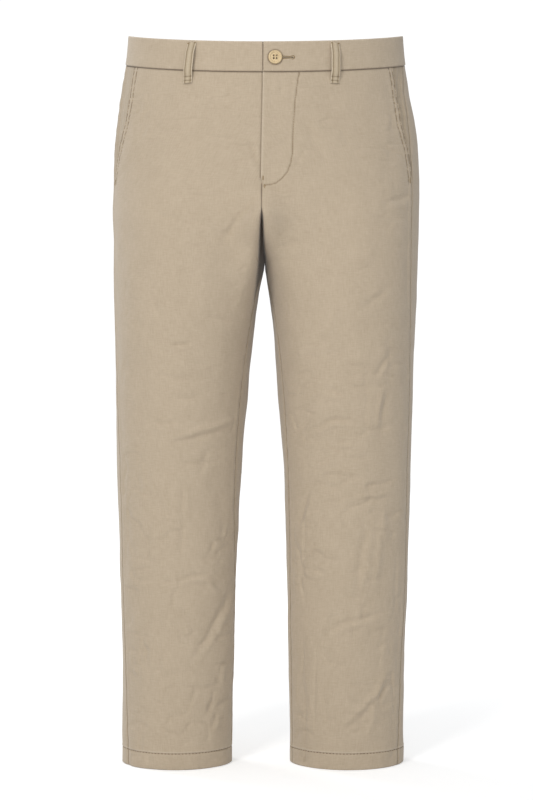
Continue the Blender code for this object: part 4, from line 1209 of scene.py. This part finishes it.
def sew_fly(cut, thread):
    """The J-shaped row that holds the placket, and the bar tacks at the fly's lower end."""
    spots = np.array(J_STITCH, dtype=float)
    run = run_along(spots)
    fine = np.linspace(0, run[-1], 160)
    x, z = np.interp(fine, run, spots[:, 0]), np.interp(fine, run, spots[:, 1])
    row = seams_of(*on_panel(cut, *level_at(LEFT, FRONT, x, z)), pitch=3.2, gap=0.9)
    tacks = []
    for x, z, length in FLY_TACKS:
        spot, normal = on_panel(cut, *level_at(LEFT, FRONT, np.array([x]), np.array([z])))
        tacks.append(zigzag(spot[0], np.array([0, 0, 1.0]), np.array([1.0, 0, 0]), normal[0],
                            length, width=2.0, count=11))
    return [stitches("fly_stitches", [row], thread), stitches("fly_tacks", tacks, thread)]


def sew_hem(side, cuts, thread):
    """The row of dashes that runs round a hem, on both of its panels."""
    ends = []
    for face in FACES:
        cut = cuts[side, face]
        i = int(np.argmin(np.abs(cut.levels - HEM_STITCH)))
        ends.append(seams_of(cut.points[i], cut.normals[i], HEM_PITCH, HEM_SPACE, skip=0.6))
    return stitches("hem_" + SIDE_NAMES[side] + "_stitches", ends, thread, HEM_THREAD)


def sew_loop(loop, face, thread):
    """A loop's stitch rows along and across it, and the knots at its upper corners."""
    points, normals, ends, knots = face.points, face.normals, [], []
    for place in LOOP_ROWS:
        j = int(np.argmin(np.abs(face.offsets - place)))
        ends.append(seams_of(points[3:-3, j], normals[3:-3, j], pitch=2.0, gap=0.6))
    for place in LOOP_TACKS:
        i = int(np.argmin(np.abs(face.along - place)))
        ends.append(seams_of(points[i, 3:-3], normals[i, 3:-3], pitch=1.9, gap=0.5))
    for j in (4, -5):
        knots.append(zigzag(points[4, j], unit(points[4, 12] - points[4, 8]),
                            unit(points[6, j] - points[3, j]), normals[4, j],
                            length=1.6, width=1.5, count=5))
    return [stitches(loop.name + "_stitches", ends, thread, LOOP_THREAD),
            stitches(loop.name + "_knots", knots, thread, FINE_THREAD)]


def sew_buttonhole(band, thread):
    """Close stitches across both lips of the slit and round the eyelet at its end."""
    def across_lip(x, rise, far_x, far_rise):
        angle, far_angle = (angle_at_x(LEFT, FRONT, SLIT_LEVEL, at) for at in (x, far_x))
        start, normals = on_panel(band, SLIT_LEVEL + rise, angle)
        return start, on_panel(band, SLIT_LEVEL + far_rise, far_angle)[0], unit(normals)

    x = np.arange(SLIT_START + 0.6, SLIT_END - 0.8, 0.62)
    half = slit_half_height(x)
    ends = [across_lip(x, sign * (half + 0.1), x, sign * (half + 1.7)) for sign in (1, -1)]
    turns = np.radians(np.linspace(-70, 70, 11))
    ends.append(across_lip(EYELET_X + 1.25 * np.cos(turns), 1.1 * np.sin(turns),
                           EYELET_X + 2.9 * np.cos(turns), 2.8 * np.sin(turns)))
    return stitches("buttonhole_stitches", ends, thread, FINE_THREAD)


def sew(cuts, bands, loops, thread, brown_thread):
    """Every visible row of stitches and bar tack, by the piece of cloth that it is on."""
    sewn = {"front_panel_" + SIDE_NAMES[side]: [sew_pocket(side, cuts[side, FRONT], thread)]
            for side in (LEFT, RIGHT)}
    sewn["front_panel_left"] += sew_fly(cuts[LEFT, FRONT], thread)
    for side in (LEFT, RIGHT):
        sewn["hem_" + SIDE_NAMES[side]] = [sew_hem(side, cuts, brown_thread)]
    for loop, face in zip(BELT_LOOPS, loops):
        sewn[loop.name] = sew_loop(loop, face, thread)
    sewn["waistband_left"] = [sew_buttonhole(bands[LEFT], thread)]
    return sewn


# ---- waist button ----------------------------------------------------------------------------

# Radius and height, from the middle of the face over the rim to the back and the shank.
BUTTON_PROFILE = (
    (0.0, 2.35), (1.2, 2.3), (3.4, 2.28), (4.9, 2.2), (5.6, 2.1), (6.1, 2.15), (6.45, 2.6),
    (6.8, 3.05), (7.2, 3.25), (7.7, 3.3), (8.2, 3.15), (8.65, 2.75), (9.0, 2.2), (9.15, 1.7),
    (8.9, 1.2), (8.3, 0.75), (7.6, 0.5), (4.5, 0.4), (1.4, 0.4), (1.2, 0.2), (1.1, -2.4),
    (0.0, -2.4),
)
BUTTON_HOLE_RADIUS, BUTTON_HOLE_OFFSET = 1.42, 1.95
BUTTON_HOLE_PROFILE = ((0.0, 5.0), (BUTTON_HOLE_RADIUS, 5.0), (BUTTON_HOLE_RADIUS, 0.6), (0.0, 0.6))
BUTTON_SIDES, PIN_SIDES = 72, 20
BUTTON_THREADS = (-0.45, 0.0, 0.45)   # places of the three threads of each bar
BUTTON_THREAD_HALF, BUTTON_THREAD_RISE = 2.6, 0.9


def turned(name, profile, sides, axes, place):
    """A solid for each axis: a profile of radius and height turned round it."""
    work = bmesh.new()
    for x, y in axes:
        rings = []
        for radius, height in profile:
            turns = [math.tau * k / sides for k in range(sides if radius else 1)]
            rings.append([work.verts.new(Vector((x + radius * math.cos(turn),
                                                 y + radius * math.sin(turn), height)) * MM)
                          for turn in turns])
        for upper, lower in zip(rings, rings[1:]):
            for k in range(sides):
                corners = [upper[k % len(upper)], upper[(k + 1) % len(upper)],
                           lower[(k + 1) % len(lower)], lower[k % len(lower)]]
                work.faces.new(dict.fromkeys(corners))
    bmesh.ops.recalc_face_normals(work, faces=work.faces)
    bmesh.ops.transform(work, matrix=place, verts=work.verts)
    mesh = bpy.data.meshes.new(name)
    work.to_mesh(mesh)
    work.free()
    piece = bpy.data.objects.new(name, mesh)
    bpy.context.scene.collection.objects.link(piece)
    return piece


def waist_button(resin, thread):
    """A turned four-hole button with a dished middle, sewn on with two bars of thread."""
    level = np.array([BUTTON_LEVEL])
    angle = angle_at_x(LEFT, FRONT, level, BUTTON_X)
    seat = Vector(ring_point(LEFT, level, angle, -BAND_PROUD)[0]) * MM
    facing = Vector(outward(LEFT, level, angle)[0])
    place = Matrix.Translation(seat) @ facing.to_track_quat("Z", "Y").to_matrix().to_4x4()
    places = (-BUTTON_HOLE_OFFSET, BUTTON_HOLE_OFFSET)
    button = turned("button", BUTTON_PROFILE, BUTTON_SIDES, [(0, 0)], place)
    pins = turned("button_hole_pins", BUTTON_HOLE_PROFILE, PIN_SIDES,
                  [(x, y) for x in places for y in places], place)
    cut = button.modifiers.new("holes", "BOOLEAN")
    cut.operation, cut.object, cut.solver = "DIFFERENCE", pins, "EXACT"
    whole = bpy.data.meshes.new_from_object(
        button.evaluated_get(bpy.context.evaluated_depsgraph_get()))
    button.modifiers.clear()
    button.data = whole
    bpy.data.objects.remove(pins)
    whole.shade_smooth()
    whole.set_sharp_from_angle(angle=math.radians(38))
    whole.materials.clear()
    whole.materials.append(resin)
    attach(button, "root")
    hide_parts("waist_button")
    right, up, out = (np.array(place.col[k])[:3] for k in range(3))
    ends = []
    for x in places:
        for shift in BUTTON_THREADS:
            middle = np.array(seat) / MM + right * (x + shift) + out * BUTTON_THREAD_RISE
            reach = up * BUTTON_THREAD_HALF
            ends.append((np.array([middle - reach]), np.array([middle + reach]), np.array([out])))
    stitches("button_thread", ends, thread, FINE_THREAD)


# ---- finishes --------------------------------------------------------------------------------

def linear(colour):
    """sRGB hex to the linear colour that a shader takes."""
    channels = [int(colour[i:i + 2], 16) / 255 for i in (1, 3, 5)]
    return [c / 12.92 if c <= 0.04045 else ((c + 0.055) / 1.055) ** 2.4 for c in channels] + [1]


def add_node(tree, kind, links=None, **settings):
    """A node with its settings; links names an input and the output that feeds it. Inputs that
    share a name, such as a mix's two colours, go by their identifier or their number."""
    node = tree.nodes.new(kind)
    by_identifier = {socket.identifier: socket for socket in node.inputs}
    for name, value in settings.items():
        if name in by_identifier or name in node.inputs:
            socket = by_identifier.get(name) or node.inputs[name]
            socket.default_value = value
        else:
            setattr(node, name, value)
    for name, output in (links or {}).items():
        tree.links.new(output, by_identifier.get(name) or node.inputs[name])
    return node


def new_material(name):
    """An empty material and its node tree."""
    material = bpy.data.materials.new(name)
    material.use_nodes = True
    material.node_tree.nodes.clear()
    return material, material.node_tree


def finish_material(tree, shader):
    """The shader becomes the material's surface."""
    add_node(tree, "ShaderNodeOutputMaterial", {"Surface": shader.outputs["BSDF"]})


def twill(name, colour, shade, light, sheen=0.25, rib=1.5, bump=0.35):
    """Cotton twill, woven and washed: a matt face of fine slanting ribs, with a soft fuzz that
    catches light at grazing angles, painted shade along its seams, stitch rows and hollows, and
    paler edges and ridges, partly worn and partly painted highlight. Real ribs are 0.6 mm apart,
    too fine to show, so they are drawn at 1.5 mm."""
    material, tree = new_material(name)
    place = add_node(tree, "ShaderNodeAttribute", attribute_name="cloth_mm")
    body = add_node(tree, "ShaderNodeTexCoord")
    seam = add_node(tree, "ShaderNodeAttribute", attribute_name="seam")
    wear = add_node(tree, "ShaderNodeAttribute", attribute_name="wear")
    rib_run = add_node(tree, "ShaderNodeMapping", {"Vector": place.outputs["Vector"]},
                       Rotation=(0, 0, math.radians(63)), Scale=(1 / rib, 1 / rib, 1 / rib))
    ribs = add_node(tree, "ShaderNodeTexWave", {"Vector": rib_run.outputs["Vector"]},
                    Scale=0.314, Distortion=2.5, Detail=2.0, **{"Detail Scale": 0.6})
    warp_run = add_node(tree, "ShaderNodeMapping", {"Vector": place.outputs["Vector"]},
                        Scale=(0.62, 0.075, 1.0))
    warp = add_node(tree, "ShaderNodeTexNoise", {"Vector": warp_run.outputs["Vector"]},
                    Scale=1.0, Detail=3.0, Roughness=0.6)
    weft_run = add_node(tree, "ShaderNodeMapping", {"Vector": place.outputs["Vector"]},
                        Scale=(0.1, 0.7, 1.0))
    weft = add_node(tree, "ShaderNodeTexNoise", {"Vector": weft_run.outputs["Vector"]},
                    Scale=1.0, Detail=3.0, Roughness=0.6)
    wash = add_node(tree, "ShaderNodeTexNoise", {"Vector": body.outputs["Object"]},
                    Scale=42.0, Detail=6.0, Roughness=0.7)
    yarns = add_node(tree, "ShaderNodeMath", {0: warp.outputs["Fac"], 1: weft.outputs["Fac"]},
                     operation="ADD")
    tone = add_node(tree, "ShaderNodeMath", {0: wash.outputs["Fac"], 2: yarns.outputs["Value"]},
                    operation="MULTIPLY_ADD", Value_001=0.6)
    tones = add_node(tree, "ShaderNodeMapRange", {"Value": tone.outputs["Value"]},
                     **{"From Min": 0.8, "From Max": 1.8})
    base = add_node(tree, "ShaderNodeMix", {"Factor": tones.outputs["Result"]},
                    data_type="RGBA", A_Color=linear(shade), B_Color=linear(colour))
    # Painted shade: the seam mark darkens the cloth in seam grooves, stitch rows, the fork, under
    # the waistband, round the button and along the hems' lower edges.
    dark = moved_to(tree, base, seam.outputs["Fac"], linear("#4A3722"), 0.64)
    # Painted highlight, partly worn look: the paler mark lightens the cloth along folded edges and
    # ridges.
    pale = moved_to(tree, dark, wear.outputs["Fac"], linear(light), 0.6)
    face = add_node(tree, "ShaderNodeMath", {0: ribs.outputs["Fac"], 1: yarns.outputs["Value"]},
                    operation="ADD")
    raised = add_node(tree, "ShaderNodeBump", {"Height": face.outputs["Value"]},
                      Strength=bump, Distance=0.0003)
    shader = add_node(tree, "ShaderNodeBsdfPrincipled",
                      {"Base Color": colour_of(pale), "Normal": raised.outputs["Normal"]},
                      Roughness=0.92, IOR=1.45, **{"Specular IOR Level": 0.18,
                                                   "Sheen Weight": sheen,
                                                   "Sheen Roughness": 0.55})
    finish_material(tree, shader)
    return material


def colour_of(mix):
    """A mix node has several outputs called Result; this is the one that carries a colour."""
    return next(socket for socket in mix.outputs if socket.identifier == "Result_Color")


def moved_to(tree, before, factor, colour, most):
    """The colour before, moved towards another by a given share of a factor."""
    amount = add_node(tree, "ShaderNodeMath", {0: factor}, operation="MULTIPLY", Value_001=most)
    return add_node(tree, "ShaderNodeMix",
                    {"Factor": amount.outputs["Value"], "A_Color": colour_of(before)},
                    data_type="RGBA", B_Color=colour)


def spun_thread(name, colour):
    """Spun polyester sewing thread: matt, with a twist every 1.4 mm, a touch glossier than the
    cloth."""
    material, tree = new_material(name)
    body = add_node(tree, "ShaderNodeTexCoord")
    twist = add_node(tree, "ShaderNodeTexWave", {"Vector": body.outputs["Object"]},
                     Scale=220.0, Distortion=1.0)
    raised = add_node(tree, "ShaderNodeBump", {"Height": twist.outputs["Fac"]},
                      Strength=0.4, Distance=0.0001)
    shader = add_node(tree, "ShaderNodeBsdfPrincipled", {"Normal": raised.outputs["Normal"]},
                      Roughness=0.75, IOR=1.45, **{"Base Color": linear(colour),
                                                   "Specular IOR Level": 0.3,
                                                   "Sheen Weight": 0.2})
    finish_material(tree, shader)
    return material


def button_resin():
    """Cast polyester resin, turned and tumbled: satin gloss with faint cloudy horn-like veins."""
    material, tree = new_material("cast_polyester_resin_tan")
    body = add_node(tree, "ShaderNodeTexCoord")
    veins = add_node(tree, "ShaderNodeTexNoise", {"Vector": body.outputs["Object"]},
                     Scale=260.0, Detail=3.0, Distortion=1.2)
    mix = add_node(tree, "ShaderNodeMix", {"Factor": veins.outputs["Fac"]}, data_type="RGBA",
                   A_Color=linear("#B99F76"), B_Color=linear("#D8C39C"))
    shader = add_node(tree, "ShaderNodeBsdfPrincipled", {"Base Color": colour_of(mix)},
                      Roughness=0.38, IOR=1.5, **{"Specular IOR Level": 0.5})
    finish_material(tree, shader)
    return material


# ---- stage -----------------------------------------------------------------------------------

FLOOR_HALF, FLOOR_CLEAR = 9.0, 0.0004   # metres
SOFTBOX_COLUMNS = ("name", "place", "aim", "size", "power", "colour")
SOFTBOXES = (
    ("key_softbox", (-1.3, -2.6, 1.35), (0, 0, -0.4), 0.8, 41.5, (1, 0.985, 0.96)),
    ("front_softbox", (0.1, -3.3, -0.5), (0, 0, -0.5), 1.6, 27.5, (1, 0.995, 0.985)),
    ("fill_softbox", (1.9, -2.2, 0.2), (0, 0, -0.5), 1.8, 4.0, (0.96, 0.98, 1)),
    ("back_softbox", (-2.3, 1.9, 1.5), (0, 0, -0.4), 1.2, 36.0, (1, 1, 1)),
)
CAMERA_PLACE, CAMERA_LENS, CAMERA_SENSOR = (0.0007, -2.3, -0.481), 75.0, 36.0


def studio_paper():
    """White paper that also glows for the camera alone, more so far from the hems, so that it
    meets the white behind it."""
    material, tree = new_material("studio_paper")
    seen = add_node(tree, "ShaderNodeLightPath")
    spot = add_node(tree, "ShaderNodeTexCoord")
    away = add_node(tree, "ShaderNodeVectorMath", {0: spot.outputs["Object"]},
                    operation="LENGTH")
    lit_below = add_node(tree, "ShaderNodeMapRange", {"Value": away.outputs["Value"]},
                         **{"From Min": 1.05, "From Max": 1.7, "To Min": 0.40, "To Max": 0.66})
    glow = add_node(tree, "ShaderNodeMath", {0: seen.outputs["Is Camera Ray"],
                                             1: lit_below.outputs["Result"]},
                    operation="MULTIPLY")
    paper = add_node(tree, "ShaderNodeBsdfPrincipled",
                     {"Emission Strength": glow.outputs["Value"]}, Roughness=0.9,
                     **{"Base Color": (0.8, 0.8, 0.8, 1), "Emission Color": (1, 1, 1, 1),
                        "Specular IOR Level": 0.0})
    finish_material(tree, paper)
    return material


def studio_floor():
    """A plain white floor just under the hems."""
    half, down = FLOOR_HALF, HEM_EDGE * MM - FLOOR_CLEAR
    mesh = bpy.data.meshes.new("studio_floor")
    mesh.from_pydata([(-half, -half, down), (half, -half, down), (half, half, down),
                      (-half, half, down)], [], [(0, 1, 2, 3)])
    mesh.materials.append(studio_paper())
    floor = bpy.data.objects.new("studio_floor", mesh)
    bpy.context.scene.collection.objects.link(floor)


def studio_surroundings():
    """Soft light from all round, in front of white."""
    world = bpy.data.worlds.new("studio")
    bpy.context.scene.world = world
    world.use_nodes = True
    tree = world.node_tree
    tree.nodes.clear()
    ray = add_node(tree, "ShaderNodeLightPath")
    seen = add_node(tree, "ShaderNodeBackground", Color=(1, 1, 1, 1), Strength=1.05)
    lit = add_node(tree, "ShaderNodeBackground", Color=(0.96, 0.98, 1, 1), Strength=0.56)
    both = add_node(tree, "ShaderNodeMixShader",
                    {"Fac": ray.outputs["Is Camera Ray"], 1: lit.outputs["Background"],
                     2: seen.outputs["Background"]})
    add_node(tree, "ShaderNodeOutputWorld", {"Surface": both.outputs["Shader"]})


def softbox(name, place, aim, size, power, colour):
    """A square area light that points from its place to its aim."""
    data = bpy.data.lights.new(name, "AREA")
    data.shape, data.size, data.energy, data.color = "SQUARE", size, power, colour
    lamp = bpy.data.objects.new(name, data)
    lamp.location = place
    lamp.rotation_euler = (Vector(aim) - Vector(place)).to_track_quat("-Z", "Y").to_euler()
    bpy.context.scene.collection.objects.link(lamp)


def level_camera():
    """A camera level with the middle of the trousers, with a long lens."""
    data = bpy.data.cameras.new("camera")
    data.lens, data.sensor_width = CAMERA_LENS, CAMERA_SENSOR
    camera = bpy.data.objects.new("camera", data)
    camera.location = CAMERA_PLACE
    camera.rotation_euler = (math.radians(90), 0, 0)
    bpy.context.scene.collection.objects.link(camera)
    bpy.context.scene.camera = camera
    bpy.context.scene.view_settings.view_transform = "Standard"


def stage():
    """A plain white floor under the hems, soft studio light and a level camera."""
    studio_floor()
    studio_surroundings()
    for lamp in SOFTBOXES:
        softbox(**dict(zip(SOFTBOX_COLUMNS, lamp)))
    level_camera()


def main():
    """The stage, and every piece of the trousers with its finish."""
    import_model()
    stage()
    shell_twill = twill("woven_cotton_twill_stone", "#BBAB96", "#A89882", "#D2C5B2")
    # The pieces inside are the same twill painted darker, as painted shade.
    inside_twill_painted_darker = twill("woven_cotton_twill_inside", "#B3A38D", "#A0907A", "#C6B8A4", bump=0.5)
    # The loops' twill has a paler colour for the painted highlight along their edges, which also
    # reads as worn.
    loop_twill = twill("woven_cotton_twill_loop", "#B8A890", "#A5957C", "#DCCFBA")
    thread = spun_thread("spun_polyester_thread_stone", "#8A744F")
    brown_thread = spun_thread("spun_polyester_thread_brown", "#5E472B")
    dark_thread = spun_thread("spun_polyester_thread_dark", "#33210F")
    cuts, bands, loops = {}, {}, []
    for side in (LEFT, RIGHT):
        for face in (FRONT, BACK):
            piece, cuts[side, face] = leg_panel(side, face)
            piece.data.materials.append(shell_twill)
        pocket_facing(side).data.materials.append(inside_twill_painted_darker)
        hem(side).data.materials.append(inside_twill_painted_darker)
        piece, bands[side] = waistband(side)
        piece.data.materials.append(shell_twill)
    fly_placket().data.materials.append(inside_twill_painted_darker)
    for loop in BELT_LOOPS:
        piece, face = belt_loop(loop)
        piece.data.materials.append(loop_twill)
        loops.append(face)
    sew(cuts, bands, loops, thread, brown_thread)
    waist_button(button_resin(), dark_thread)


main()
